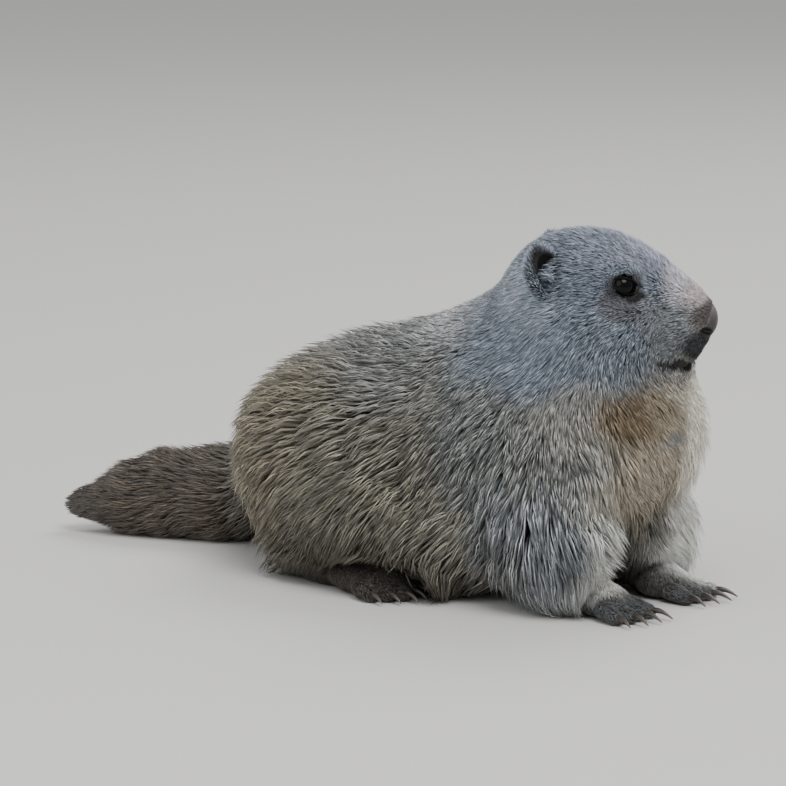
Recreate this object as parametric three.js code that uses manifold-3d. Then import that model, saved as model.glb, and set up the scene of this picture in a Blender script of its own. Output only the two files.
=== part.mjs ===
// An alpine marmot sitting on its haunches, forefeet on the ground, chest raised and head turned to its left.
// Life size, in millimetres, +Z up. The animal faces +X, its left side is +Y and it rests on Z = 0.
// The flesh is one smooth distance field, built from egg and limb forms, that is wrapped in a mesh
// and parted by thin cuts.

import * as THREE from "three";
import { mergeVertices } from "three/addons/utils/BufferGeometryUtils.js";
import Module from "manifold-3d";

const wasm = await Module();
wasm.setup();

// Driving dimensions
const GAP = 0.3; // between two pieces that touch
// How softly two forms flow together
const BLEND = {
  ...{ fine: 6, small: 8, medium: 12, large: 16 },
  ...{ tail: 10, leg: 14, hip: 18, thigh: 20, trunk: 30, rump: 40 },
};
const HEAD_YAW = 34;
const HEAD_PLACE = [-23, 5, 174]; // the point between the eyes
const EYE_OUT = 22; // eye centre from the middle of the head
const EYE_LOOK = { yaw: 62, pitch: 5 }; // outward from straight ahead
const EYE_RADIUS = 7;
// The almond of the lids, in radians from the way that the eye looks, on a ball a little over the eye's
const LIDS = { over: 0.9, thick: 1.5, steps: 12, wide: 1, tall: 0.8, tilt: -0.36, corner: 0.18 };
const EYE_FACES = [12, 8]; // round and down
const EAR_FACES = [10, 6];
const EAR_WALL = 2.4;
const TOE_RADIUS = 4.4;
const FLAT = 0.4; // how far a palm reaches below the floor, where it is cut flat
const CLAW = { radius: 2.2, fore: 11, hind: 10, sunk: 2.6, hump: 1.1, bend: 1.45, sections: 3, corners: 4 };

// The coat: how deep it is on the body, and how it thins towards the face and the feet
const COAT_DEPTH = 20;
const CORE_SHARE = 0.5; // of the coat's depth, under the outline
const FACE_COAT = { depth: 4, near: 60, far: 150 };
const FORE_COAT = { depth: 3, near: 26, far: 80, ahead: [8, 0, 4] };
const FOOT_COAT = { depth: 3, near: 18, far: 66 };
const LOCK = { length: 70, width: 34, thick: 7, sections: 4, root: 0.78 };
const LOCK_FLOOR = 14; // no lock roots lower than this

// Cell sizes of the wrapping meshes
const CELL = { trunk: 18.5, neck: 15, face: 5.7, nape: 12, headWidth: 6.8, limb: 14.6, tail: 14, nose: 5 };

// Places and sizes of the forms of the trunk, left and right alike where `side` is 1 or -1
const TRUNK = {
  chest: { at: [-43, 1, 98], radii: [57, 57, 60] },
  shoulders: { at: [-92, 0, 97], radii: [62, 62, 60] },
  belly: { at: [-132, 0, 73], radii: [76, 69, 70] },
  haunches: { at: [-185, 0, 66], radii: [96, 78, 62] },
};
const NECK = { from: [-66, 0, 122], to: [-26, 0, -16], radii: [52, 39] }; // `to` is in the head's own frame
const FORELEG = {
  [-1]: { shoulder: [-60, -40, 88], elbow: [-42, -42, 52], wrist: [-28, -36, 22], paw: [-3, -31, 0], yaw: -6 },
  [1]: { shoulder: [-62, 38, 88], elbow: [-49, 37, 52], wrist: [-36, 36, 22], paw: [-10, 30, 0], yaw: 8 },
};
const FORELEG_RADII = { shoulder: 35, elbow: 29, wrist: 20, ankle: 15, paw: 9.4 };
const fringeForm = (side) => ({ at: plus(FORELEG[side].elbow, [1, side * 3, -12]), radii: [30, 24, 30] });
const flankForm = (side) => ({ at: [-112, side * 38, 36], radii: [60, 36, 37] });
const thighForm = (side) => ({ at: [-182, side * 52, 60], radii: [62, 34, 50], turn: { pitch: 25 } });
const shankForm = (side) => ({ from: [-140, side * 64, 44], to: [-200, side * 60, 18], radii: [26, 16] });
const HIND_PAW = { at: [-150, 68, 0], yaw: 8 };
const FORE_PALM_HEIGHT = 8.6;
const HIND_PALM_HEIGHT = 8.2;
const TAIL_LINE = [[-262, 0, 38], [-305, -6, 26], [-345, -22, 23], [-386, -48, 16]];
const TAIL_RADII = [26, 27, 24, 8];

// Forms of the head, in its own frame: +X forward, +Y left, +Z up, from the point between the eyes
const HEAD_FORMS = [
  { name: "cranium", at: [-21, 0, -5], radii: [36, 31, 29] },
  { name: "brow", at: [-1, 0, -2], radii: [29, 23, 23], turn: { pitch: -22 }, blend: BLEND.medium },
  { name: "muzzle", at: [21, 0, -14], radii: [27, 17.5, 21], turn: { pitch: -28 }, blend: BLEND.medium },
  { name: "nose bridge", at: [43, 0, -20], radii: [6, 8.5, 8], blend: BLEND.fine },
  { name: "lip pad", at: [27, 8.5, -30], radii: [14, 10.5, 12.5], blend: BLEND.small },
  { name: "jaw", at: [15, 0, -45], radii: [15, 11.5, 9.5], blend: BLEND.small },
  { name: "cheek", at: [-18, 16, -25], radii: [30, 24, 28], blend: BLEND.large },
];
// Measured out from the eye's centre along its look
const ORBIT = { out: 11.8, radii: [8.2, 13, 10.5] };
const LID_MOUND = { out: -2.6, radii: [7.4, 11, 9.8], blend: 3 };
const EAR = { at: [-40, 31, 6], radii: [6.5, 12, 14], turn: { yaw: 30, pitch: 10, roll: -15 } };
const EAR_HOLLOW = { forward: 3.6, radii: [6.5, 12 - EAR_WALL, 14 - EAR_WALL] };
const NOSE_PAD = { at: [46, 0, -21], radii: [10.5, 9.2, 9] };
const NOSTRIL = { at: [45.5, 6.6, -23.6], radii: [4.2, 2.6, 1.5], turn: { yaw: 25, pitch: -12 } };
const CLEFT_LINE = [[44, 0, -28], [40, 0, -34]];
const LIP_LINE = [[37, 3, -38.5], [32, 9, -40.5], [25, 15, -41], [17, 20, -42.5]];
const MOUTH_GROOVE = 1.1;
const CLEFT_GROOVE = 0.75;

// Small vector sums on [x, y, z]
const plus = (a, b) => [a[0] + b[0], a[1] + b[1], a[2] + b[2]];
const minus = (a, b) => [a[0] - b[0], a[1] - b[1], a[2] - b[2]];
const times = (a, k) => [a[0] * k, a[1] * k, a[2] * k];
const dot = (a, b) => a[0] * b[0] + a[1] * b[1] + a[2] * b[2];
const cross = (a, b) => [a[1] * b[2] - a[2] * b[1], a[2] * b[0] - a[0] * b[2], a[0] * b[1] - a[1] * b[0]];
const unit = (a) => times(a, 1 / Math.hypot(...a));
const between = (a, b, t) => plus(times(a, 1 - t), times(b, t));
const radians = (degrees) => (degrees * Math.PI) / 180;
const sided = (p, side) => [p[0], p[1] * side, p[2]];

// The turned x, y and z axes. Pitch lifts the front of the x axis, and yaw turns it left.
function axesOf({ yaw = 0, pitch = 0, roll = 0 } = {}) {
  const [cy, sy, cp, sp, cr, sr] = [yaw, pitch, roll].map(radians).flatMap((a) => [Math.cos(a), Math.sin(a)]);
  return [
    [cy * cp, sy * cp, sp],
    [-sy * cr - cy * sp * sr, cy * cr - sy * sp * sr, cp * sr],
    [sy * sr - cy * sp * cr, -cy * sr - sy * sp * cr, cp * cr],
  ];
}
const inAxes = (axes, p) => axes.map((axis) => dot(axis, p));
const fromAxes = (axes, p) => plus(plus(times(axes[0], p[0]), times(axes[1], p[1])), times(axes[2], p[2]));

const HEAD_AXES = axesOf({ yaw: HEAD_YAW });
const toHead = (p) => inAxes(HEAD_AXES, minus(p, HEAD_PLACE));
const fromHead = (p) => plus(HEAD_PLACE, fromAxes(HEAD_AXES, p));

// Distance fields: each is a function of a point that is negative inside the form
function egg({ at, radii, turn }) {
  const axes = axesOf(turn);
  return (p) => {
    const q = inAxes(axes, minus(p, at));
    const near = Math.hypot(q[0] / radii[0], q[1] / radii[1], q[2] / radii[2]);
    const slope = Math.hypot(q[0] / radii[0] ** 2, q[1] / radii[1] ** 2, q[2] / radii[2] ** 2);
    return (near * (near - 1)) / Math.max(slope, 1e-6);
  };
}

function limb({ from, to, radii }) {
  const along = minus(to, from);
  const length = dot(along, along);
  return (p) => {
    const q = minus(p, from);
    const t = Math.min(1, Math.max(0, dot(q, along) / length));
    return Math.hypot(...minus(q, times(along, t))) - (radii[0] + (radii[1] - radii[0]) * t);
  };
}

function soften(a, b, blend) {
  const near = Math.max(blend - Math.abs(a - b), 0) / blend;
  return Math.min(a, b) - (near * near * blend) / 4;
}
const join = (blend, ...fields) => (p) =>
  fields.reduce((sum, field) => soften(sum, field(p), blend), Infinity);

// The head, without its ears and eyes
const eyePlace = (side) => [0, side * EYE_OUT, 0];
const eyeAxes = (side) => axesOf({ yaw: side * EYE_LOOK.yaw, pitch: EYE_LOOK.pitch });
const onLook = ({ out, radii }) =>
  egg({ at: plus(eyePlace(1), times(eyeAxes(1)[0], out)), radii, turn: EYE_LOOK });
const headFields = HEAD_FORMS.map(egg);
const orbit = onLook(ORBIT);
const lidMound = onLook(LID_MOUND);
function headForm(m) {
  let d = headFields[0](m);
  HEAD_FORMS.slice(1).forEach((form, i) => {
    d = soften(d, headFields[i + 1](m), form.blend);
  });
  return d;
}

// The head flows into the neck, and the eye sockets are hollowed into both
function headed(neck, q) {
  const m = [q[0], Math.abs(q[1]), q[2]];
  const d = soften(neck, headForm(m), BLEND.large);
  return soften(-soften(-d, orbit(m), BLEND.fine), lidMound(m), LID_MOUND.blend);
}

// Paws: a palm with toes that fan out, each toe with a claw
function pawPlan({ place, yaw, side, palm, toes, toeLength, claw }) {
  const turn = axesOf({ yaw });
  const set = (p) => plus(place, fromAxes(turn, [p[0], p[1] * side, p[2]]));
  const fan = toes.map(({ root, angle, reach }) => {
    const way = [Math.cos(radians(angle)), Math.sin(radians(angle)), 0];
    const tip = plus(root, times(way, toeLength * reach));
    return {
      from: set([root[0], root[1], TOE_RADIUS + 1.6]),
      to: set([tip[0], tip[1], TOE_RADIUS - 0.4]),
      radii: [TOE_RADIUS, TOE_RADIUS - 0.6],
      way: minus(set(plus(tip, way)), set(tip)),
    };
  });
  const palms = palm.map((form) => ({ at: set(form.at), radii: form.radii, turn: { yaw } }));
  return { palms, toes: fan, claw };
}

const FORE_TOES = [-1.5, -0.5, 0.5, 1.5].map((n) => ({
  root: [5, n * 6.6, 0],
  angle: n * 9,
  reach: 1 - 0.12 * Math.abs(n - 0.3),
}));
const HIND_TOES = [-2, -1, 0, 1, 2].map((n) => ({
  root: [24 - 2.2 * Math.abs(n) ** 1.4, n * 6.4, 0],
  angle: n * 6,
  reach: 1 - 0.1 * Math.abs(n),
}));
const forePaw = (side) => ({
  ...pawPlan({
    place: FORELEG[side].paw,
    yaw: FORELEG[side].yaw,
    side,
    palm: [{ at: [-5, 0, FORE_PALM_HEIGHT], radii: [16, 13, FORE_PALM_HEIGHT + FLAT] }],
    toes: FORE_TOES,
    toeLength: 15,
    claw: CLAW.fore,
  }),
  ankle: {
    from: FORELEG[side].wrist,
    to: plus(FORELEG[side].paw, [-4, 0, FORE_PALM_HEIGHT + 1]),
    radii: [FORELEG_RADII.ankle, FORELEG_RADII.paw],
  },
});
const hindPaw = (side) =>
  pawPlan({
    place: sided(HIND_PAW.at, side),
    yaw: side * HIND_PAW.yaw,
    side,
    palm: [
      { at: [-26, -1, HIND_PALM_HEIGHT], radii: [26, 12, HIND_PALM_HEIGHT + FLAT] },
      { at: [6, 0, HIND_PALM_HEIGHT], radii: [25, 15, HIND_PALM_HEIGHT + FLAT] },
    ],
    toes: HIND_TOES,
    toeLength: 14,
    claw: CLAW.hind,
  });

function forelegField(side) {
  const { shoulder, elbow, wrist } = FORELEG[side];
  return join(
    BLEND.leg,
    limb({ from: shoulder, to: elbow, radii: [FORELEG_RADII.shoulder, FORELEG_RADII.elbow] }),
    limb({ from: elbow, to: wrist, radii: [FORELEG_RADII.elbow, FORELEG_RADII.wrist] }),
    egg(fringeForm(side)),
  );
}
const tailForms = TAIL_RADII.slice(1).map((radius, i) => ({
  from: TAIL_LINE[i],
  to: TAIL_LINE[i + 1],
  radii: [TAIL_RADII[i], radius],
}));
const tailField = join(BLEND.tail, ...tailForms.map(limb));

const SIDES = { right: -1, left: 1 };
const sides = Object.values(SIDES);
const limbFields = sides.map((side) => ({
  flank: egg(flankForm(side)),
  foreleg: forelegField(side),
  thigh: join(BLEND.thigh, egg(thighForm(side)), limb(shankForm(side))),
}));
const torsoField = join(BLEND.trunk, egg(TRUNK.chest), egg(TRUNK.shoulders), egg(TRUNK.belly));
const haunchField = egg(TRUNK.haunches);
const neckField = limb({ ...NECK, to: fromHead(NECK.to) });

// The whole animal without its paws: every form flows into the next
function body(p) {
  let d = soften(torsoField(p), haunchField(p), BLEND.rump);
  d = soften(d, neckField(p), BLEND.trunk);
  d = headed(d, toHead(p));
  for (const fields of limbFields) {
    d = soften(d, fields.flank(p), BLEND.thigh);
    d = soften(d, fields.foreleg(p), BLEND.large);
    d = soften(d, fields.thigh(p), BLEND.hip);
  }
  return soften(d, tailField(p), BLEND.thigh);
}

// The depth of the coat under the outline at a point
const thinCoats = [
  { at: fromHead([-8, 0, -14]), ...FACE_COAT },
  ...sides.map((side) => ({ at: plus(FORELEG[side].paw, FORE_COAT.ahead), ...FORE_COAT })),
  ...sides.map((side) => ({ at: sided(HIND_PAW.at, side), ...FOOT_COAT })),
];
function coatDepth(p) {
  const depths = thinCoats.map(({ at, depth, near, far }) => {
    const t = Math.min(1, Math.max(0, (Math.hypot(...minus(p, at)) - near) / (far - near)));
    return depth + (COAT_DEPTH - depth) * t;
  });
  return Math.min(...depths);
}
const core = (p) => body(p) + CORE_SHARE * coatDepth(p);

function outward(field, p, step = 0.5) {
  const here = field(p);
  return unit([0, 1, 2].map((i) => field(p.map((v, n) => (n === i ? v + step : v))) - here));
}

// The way that the hair points at a place: back along the back, down the sides and chest, and along the tail
function lieOf(p) {
  if (p[0] < TAIL_LINE[0][0]) return unit([-1, -0.25, -0.02]);
  const arm = sides.find((side) => Math.hypot(...minus(p, FORELEG[side].elbow)) < 44 && p[1] * side > 14);
  if (arm) return unit([(p[0] - FORELEG[arm].elbow[0]) / 60, arm * 0.15, -1]);
  return unit([-1, 0, -0.9]);
}

// Even steps of a cell's size, from low to high at least
function even(low, high, cell) {
  return Array.from({ length: Math.ceil((high - low) / cell) + 1 }, (_, n) => low + n * cell);
}

// Steps from low to high at least, of the fine cell between two places and growing to the coarse one beyond
const GROWN_OVER = 50;
function graded(low, high, fine, coarse, [from, to]) {
  const grid = even(from, to, fine);
  const cell = (v) => fine + (coarse - fine) * Math.min(1, Math.max(from - v, v - to, 0) / GROWN_OVER);
  while (grid[0] > low) grid.unshift(grid[0] - cell(grid[0]) - 1);
  while (grid.at(-1) < high) grid.push(grid.at(-1) + cell(grid.at(-1)));
  return grid;
}

const evenGrid = (low, high, cell) => low.map((v, i) => even(v, high[i], cell));

// Wraps the surface where a field is zero in a closed mesh, with one vertex for each cell that it crosses
function wrap(field, grid) {
  const count = grid.map((line) => line.length);
  const corner = (i, j, k) => [grid[0][i], grid[1][j], grid[2][k]];
  const inner = grid.map((line) => [line[1], line.at(-2)]);
  const inBox = (p) => Math.max(...p.map((v, i) => Math.max(inner[i][0] - v, v - inner[i][1])));
  const clipped = (p) => Math.max(field(p), inBox(p));
  const at = (i, j, k) => (k * count[1] + j) * count[0] + i;
  const values = new Float64Array(count[0] * count[1] * count[2]);
  for (let k = 0; k < count[2]; k++)
    for (let j = 0; j < count[1]; j++)
      for (let i = 0; i < count[0]; i++) values[at(i, j, k)] = clipped(corner(i, j, k)) || 1e-9;

  const vertices = [];
  const vertexOf = new Map();
  const pull = (p, home, size) => {
    for (let n = 0; n < 4; n++) {
      const d = clipped(p);
      const h = size[0] * 0.02;
      const slope = [0, 1, 2].map((i) => {
        const up = [...p];
        up[i] += h;
        return (clipped(up) - d) / h;
      });
      const steep = Math.max(dot(slope, slope), 0.2);
      p = minus(p, times(slope, d / steep));
    }
    return p.map((v, i) => Math.min(home[i] + size[i] * 0.98, Math.max(home[i] + size[i] * 0.02, v)));
  };
  const cellVertex = (i, j, k) => {
    const key = at(i, j, k);
    if (vertexOf.has(key)) return vertexOf.get(key);
    let sum = [0, 0, 0];
    let crossings = 0;
    for (let axis = 0; axis < 3; axis++)
      for (let n = 0; n < 4; n++) {
        const a = [0, 0, 0];
        a[(axis + 1) % 3] = n & 1;
        a[(axis + 2) % 3] = n >> 1;
        const b = [...a];
        b[axis] = 1;
        const va = values[at(i + a[0], j + a[1], k + a[2])];
        const vb = values[at(i + b[0], j + b[1], k + b[2])];
        if (va < 0 === vb < 0) continue;
        sum = plus(sum, between(a, b, va / (va - vb)));
        crossings++;
      }
    const home = corner(i, j, k);
    const size = minus(corner(i + 1, j + 1, k + 1), home);
    vertices.push(pull(home.map((v, n) => v + (sum[n] / crossings) * size[n]), home, size));
    vertexOf.set(key, vertices.length - 1);
    return vertices.length - 1;
  };

  const faces = [];
  for (let k = 1; k < count[2] - 1; k++)
    for (let j = 1; j < count[1] - 1; j++)
      for (let i = 1; i < count[0] - 1; i++)
        for (let axis = 0; axis < 3; axis++) {
          const here = values[at(i, j, k)] < 0;
          const step = [0, 0, 0];
          step[axis] = 1;
          if (here === values[at(i + step[0], j + step[1], k + step[2])] < 0) continue;
          const u = [0, 0, 0];
          const v = [0, 0, 0];
          u[(axis + 1) % 3] = 1;
          v[(axis + 2) % 3] = 1;
          const ring = [[0, 0], [1, 0], [1, 1], [0, 1]].map(([a, b]) =>
            cellVertex(i - a * u[0] - b * v[0], j - a * u[1] - b * v[1], k - a * u[2] - b * v[2]),
          );
          const [a, b, c, d] = here ? ring : ring.reverse();
          const span = (m, n) => Math.hypot(...minus(vertices[m], vertices[n]));
          if (span(a, c) < span(b, d)) faces.push([a, b, c], [a, c, d]);
          else faces.push([a, b, d], [b, c, d]);
        }
  const geometry = new THREE.BufferGeometry();
  geometry.setAttribute("position", new THREE.Float32BufferAttribute(vertices.flat(), 3));
  return geometry.setIndex(faces.flat());
}

// Solids for cutting and joining
function solid(geometry) {
  const bare = geometry.clone();
  bare.deleteAttribute("normal");
  bare.deleteAttribute("uv");
  const merged = mergeVertices(bare, 1e-4);
  return new wasm.Manifold(
    new wasm.Mesh({
      numProp: 3,
      vertProperties: new Float32Array(merged.attributes.position.array),
      triVerts: new Uint32Array(merged.index.array),
    }),
  );
}

function geometryOf(piece) {
  const { numProp, vertProperties, triVerts } = largest(piece).getMesh();
  const positions = [];
  for (let i = 0; i < vertProperties.length; i += numProp) positions.push(...vertProperties.slice(i, i + 3));
  const geometry = new THREE.BufferGeometry();
  geometry.setAttribute("position", new THREE.Float32BufferAttribute(positions, 3));
  geometry.setIndex([...triVerts]);
  return geometry;
}
const largest = (piece) => piece.decompose().reduce((a, b) => (b.volume() > a.volume() ? b : a));

// A geometry turned so that its x, y and z axes are `axes`, and moved to a place
function placed(geometry, place, axes = axesOf()) {
  const matrix = new THREE.Matrix4().makeBasis(...axes.map((axis) => new THREE.Vector3(...axis)));
  return geometry.applyMatrix4(matrix.setPosition(...place));
}
const eggSolid = ({ at, radii, turn }, grow = 0, [around, down] = [14, 9]) => {
  const ball = new THREE.SphereGeometry(1, around, down).scale(...radii.map((r) => r + grow));
  return solid(placed(ball, at, axesOf(turn)));
};

// A tapered limb with round ends, as a solid of few sides
function limbSolid({ from, to, radii }, grow = 0, around = 6, bends = [-90, -35]) {
  const along = minus(to, from);
  const length = Math.hypot(...along);
  const [low, high] = radii.map((r) => r + grow);
  const arc = bends.map(radians);
  const profile = [
    ...arc.map((a) => [low * Math.cos(a), low * Math.sin(a)]),
    ...arc.map((a) => [high * Math.cos(a), length - high * Math.sin(a)]).reverse(),
  ].map(([r, h]) => new THREE.Vector2(Math.max(r, 0), h));
  const y = unit(along);
  const x = unit(Math.abs(y[2]) < 0.9 ? [y[1], -y[0], 0] : [0, -y[2], y[1]]);
  const z = cross(x, y);
  return solid(placed(new THREE.LatheGeometry(profile, around), from, [x, y, z]));
}

// Everything on the side of a plane that its normal points to, from a distance past it
const FAR = 1000;
function beyond(point, normal, distance = GAP / 2) {
  const n = unit(normal);
  const side = unit(Math.abs(n[2]) < 0.9 ? [n[1], -n[0], 0] : [1, 0, -n[0] / n[2]]);
  const up = cross(n, side);
  const block = new THREE.BoxGeometry(FAR, FAR, FAR).translate(FAR / 2 + distance, 0, 0);
  return solid(placed(block, point, [n, side, up]));
}
function part(piece, { point, normal }) {
  return [piece.intersect(beyond(point, normal)), piece.intersect(beyond(point, times(normal, -1)))];
}

// The planes and eggs that part the body
const HEAD_CUT = { point: [-52, -2, 138], normal: [0.5, 0.1, 0.85] };
const NECK_CUT = { point: [-66, 0, 112], normal: [0.5, 0.1, 0.85] };
const TAIL_CUT = { point: [-282, 0, 34], normal: [-1, 0, 0.1] };
const FLOOR = { point: [0, 0, -GAP / 2], normal: [0, 0, 1] };
const ARM_SOCKET = { shoulder: [-61, 48, 86], paw: [-8, 36, 8], radii: [36, 36] };
const THIGH_SOCKET = { at: [-180, 70, 48], radii: [70, 42, 62] };
const wristCut = (side) => ({
  point: plus(FORELEG[side].wrist, [3, 0, -2.5]),
  normal: [0.75, 0, -0.66],
});

// The space round a whole foreleg, from shoulder to paw
const armSocket = (side, grow = 0) =>
  limbSolid(
    { from: sided(ARM_SOCKET.shoulder, side), to: sided(ARM_SOCKET.paw, side), radii: ARM_SOCKET.radii },
    grow,
    12,
    [-90, -45, 0],
  );
const thighSocket = (side, grow = 0) =>
  eggSolid({ at: sided(THIGH_SOCKET.at, side), radii: THIGH_SOCKET.radii }, grow, [12, 7]);

// A whole paw without its claws, grown by a distance
function pawSolid({ palms, toes, ankle }, grow = 0) {
  const pieces = [
    ...palms.map((form) => eggSolid(form, grow, [10, 7])),
    ...toes.map((form) => limbSolid(form, grow)),
    ...(ankle ? [limbSolid(ankle, grow, 10)] : []),
  ];
  return pieces.reduce((a, b) => a.add(b));
}

// The space that a hind paw takes up in the leg above it, and down to the floor
function pawSeat(side) {
  const seat = pawSolid(hindPaw(side), GAP);
  return seat.add(seat.translate([0, 0, -HIND_PALM_HEIGHT]));
}

// A closed solid from rings of corners, each ring joined to the next, and a point at each end
function ringsSolid(rings, start, end) {
  const corners = rings[0].length;
  const points = [...rings.flat(), start, end];
  const [base, tip] = [points.length - 2, points.length - 1];
  const last = (rings.length - 1) * corners;
  const faces = [];
  for (let c = 0; c < corners; c++) {
    const next = (c + 1) % corners;
    faces.push([base, next, c], [last + c, last + next, tip]);
    for (let s = 0; s < last; s += corners) {
      const [a, b] = [s + c, s + next];
      faces.push([a, b, b + corners], [a, b + corners, a + corners]);
    }
  }
  const geometry = new THREE.BufferGeometry();
  geometry.setAttribute("position", new THREE.Float32BufferAttribute(points.flat(), 3));
  return solid(geometry.setIndex(faces.flat()));
}

// A flat, tapered lock of hair that follows the lie of the coat, from a root in the core up to the outline
function lockSolid(root, size) {
  const depth = coatDepth(root);
  const length = LOCK.length * size * (0.35 + 0.65 * (depth / COAT_DEPTH));
  const rings = [];
  const middles = [];
  let p = root;
  const settle = (t) => {
    for (let n = 0; n < 3; n++) {
      const level = -LOCK.root * depth * (1 - t) ** 1.5;
      p = plus(p, times(outward(body, p), level - body(p)));
    }
  };
  for (let s = 0; s < LOCK.sections; s++) {
    const t = s / LOCK.sections;
    settle(t);
    const up = outward(body, p);
    const lie = lieOf(p);
    const along = unit(minus(lie, times(up, dot(lie, up))));
    const across = cross(up, along);
    const half = (LOCK.width / 2) * size * (0.6 + 1.5 * t - 1.7 * t * t);
    const thick = (LOCK.thick / 2) * (1 - 0.75 * t);
    const offsets = [times(across, half), times(up, thick), times(across, -half), times(up, -thick)];
    rings.push(offsets.map((off) => plus(p, off)));
    middles.push({ p, along });
    p = plus(p, times(along, length / LOCK.sections));
  }
  settle(1);
  const folded = middles.some(({ p: middle, along }, s) =>
    (rings[s + 1] ?? [p]).some((corner) => dot(minus(corner, middle), along) < 2) ||
    (rings[s - 1] ?? []).some((corner) => dot(minus(corner, middle), along) > -2),
  );
  return folded ? null : ringsSolid(rings, middles[0].p, p);
}

// A seeded draw of numbers between 0 and 1
function dice(seed) {
  let state = seed;
  return () => {
    state = (state * 1664525 + 1013904223) % 4294967296;
    return state / 4294967296;
  };
}

// Roots spread evenly over the coat's core, apart from the cut faces of a piece
function rootsOn(piece, spacing, draw) {
  const { numProp, vertProperties, triVerts } = piece.getMesh();
  const corner = (n) => [0, 1, 2].map((i) => vertProperties[triVerts[n] * numProp + i]);
  const faces = [];
  let area = 0;
  for (let n = 0; n < triVerts.length; n += 3) {
    const [a, b, c] = [corner(n), corner(n + 1), corner(n + 2)];
    const [u, v] = [minus(b, a), minus(c, a)];
    area += Math.hypot(...cross(u, v)) / 2;
    faces.push({ a, u, v, area });
  }
  const roots = [];
  for (let n = 0; n < (area / spacing ** 2) * 30; n++) {
    const pick = draw() * area;
    const { a, u, v } = faces.find((face) => face.area >= pick);
    let [s, t] = [draw(), draw()];
    if (s + t > 1) [s, t] = [1 - s, 1 - t];
    const p = plus(a, plus(times(u, s), times(v, t)));
    const onCoat = Math.abs(core(p)) < 2.5 && p[2] > LOCK_FLOOR;
    if (onCoat && roots.every((root) => Math.hypot(...minus(root, p)) > spacing)) roots.push(p);
  }
  return roots;
}

// Claws: a curved, tapered horn, from its root in the toe to its tip near the ground
function clawSolid(toe, length, grow = 0) {
  const forward = unit(toe.way);
  const root = plus(toe.to, times(forward, TOE_RADIUS - CLAW.sunk - grow));
  const sideways = [-forward[1], forward[0], 0];
  const curve = (t) => {
    const reach = t * (length + CLAW.sunk + grow);
    const drop = (root[2] - 0.9) * (1 - Math.cos(t * CLAW.bend)) ** 1.2;
    return plus(plus(root, times(forward, reach)), [0, 0, CLAW.hump * Math.sin(t * Math.PI) - drop]);
  };
  const rings = [];
  for (let s = 0; s < CLAW.sections; s++) {
    const t = s / CLAW.sections;
    const radius = (CLAW.radius + grow) * (1 - t) ** 0.6 + 0.1 * t;
    const ring = Array.from({ length: CLAW.corners }, (_, c) => {
      const angle = (c / CLAW.corners) * 2 * Math.PI;
      const off = plus(times(sideways, 0.8 * Math.cos(angle)), [0, 0, Math.sin(angle)]);
      return plus(curve(t), times(off, radius));
    });
    rings.push(ring);
  }
  return ringsSolid(rings, curve(0), curve(1));
}

// Materials, one for each finish
const finish = (color, roughness) => new THREE.MeshStandardMaterial({ color, roughness, metalness: 0 });
const MATERIALS = {
  greyCoat: finish(0x6f7173, 0.95),
  headCoat: finish(0x74777b, 0.95),
  darkCoat: finish(0x4a4138, 0.95),
  ear: finish(0x5c5a57, 0.9),
  nose: finish(0x3a3432, 0.5),
  eye: finish(0x0d0b0a, 0.08),
  claw: finish(0x2a2625, 0.45),
};

const model = new THREE.Group();
function add(name, piece, material, group = model) {
  const mesh = new THREE.Mesh(geometryOf(piece), MATERIALS[material]);
  mesh.name = name;
  group.add(mesh);
}

// A node of flesh with its coat: the core in a box of cells, the locks rooted in it, and its bounding cuts
const draw = dice(11);
function addCoated(name, material, { low, high, cell, spacing, size = 1, bound }) {
  const flesh = solid(wrap(core, evenGrid(low, high, cell)));
  const roots = rootsOn(bound(flesh), spacing, draw);
  const locks = roots.map((root) => lockSolid(root, size * (0.85 + 0.3 * draw()))).filter((lock) => lock);
  add(name, bound(locks.reduce((whole, lock) => whole.add(lock), flesh)), material);
}

// Trunk: torso, neck and tail
const floor = beyond(FLOOR.point, FLOOR.normal);
const sockets = sides.map((side) => armSocket(side, GAP).add(thighSocket(side, GAP)).add(pawSeat(side)));
const outsideLegs = (piece) => sockets.reduce((rest, socket) => rest.subtract(socket), piece);
addCoated("torso", "greyCoat", {
  low: [-324, -120, -20],
  high: [70, 120, 200],
  cell: CELL.trunk,
  spacing: 33,
  bound: (piece) => outsideLegs(part(part(piece.intersect(floor), NECK_CUT)[1], TAIL_CUT)[1]),
});
addCoated("neck", "greyCoat", {
  low: [-150, -96, 36],
  high: [70, 96, 190],
  cell: CELL.neck,
  spacing: 28,
  size: 0.8,
  bound: (piece) => outsideLegs(part(part(piece, HEAD_CUT)[1], NECK_CUT)[0]),
});
addCoated("tail", "darkCoat", {
  low: [-426, -110, -20],
  high: [-250, 90, 130],
  cell: CELL.tail,
  spacing: 21,
  size: 0.9,
  bound: (piece) => part(piece.intersect(floor), TAIL_CUT)[0],
});

// Head, with its ears, eyes and nose, in a group of its own
const headGroup = new THREE.Group();
headGroup.position.set(...HEAD_PLACE);
headGroup.rotation.z = radians(HEAD_YAW);
model.add(headGroup);
const headBody = (q) => body(fromHead(q));
const toHeadPlane = ({ point, normal }) => ({ point: toHead(point), normal: inAxes(HEAD_AXES, normal) });
const HEAD_GRID = [
  graded(-78, 62, CELL.face, CELL.nape, [-12, 56]),
  even(-68, 68, CELL.headWidth),
  graded(-84, 42, CELL.face, CELL.nape, [-52, 16]),
];
const headWrap = solid(wrap(headBody, HEAD_GRID));

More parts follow.
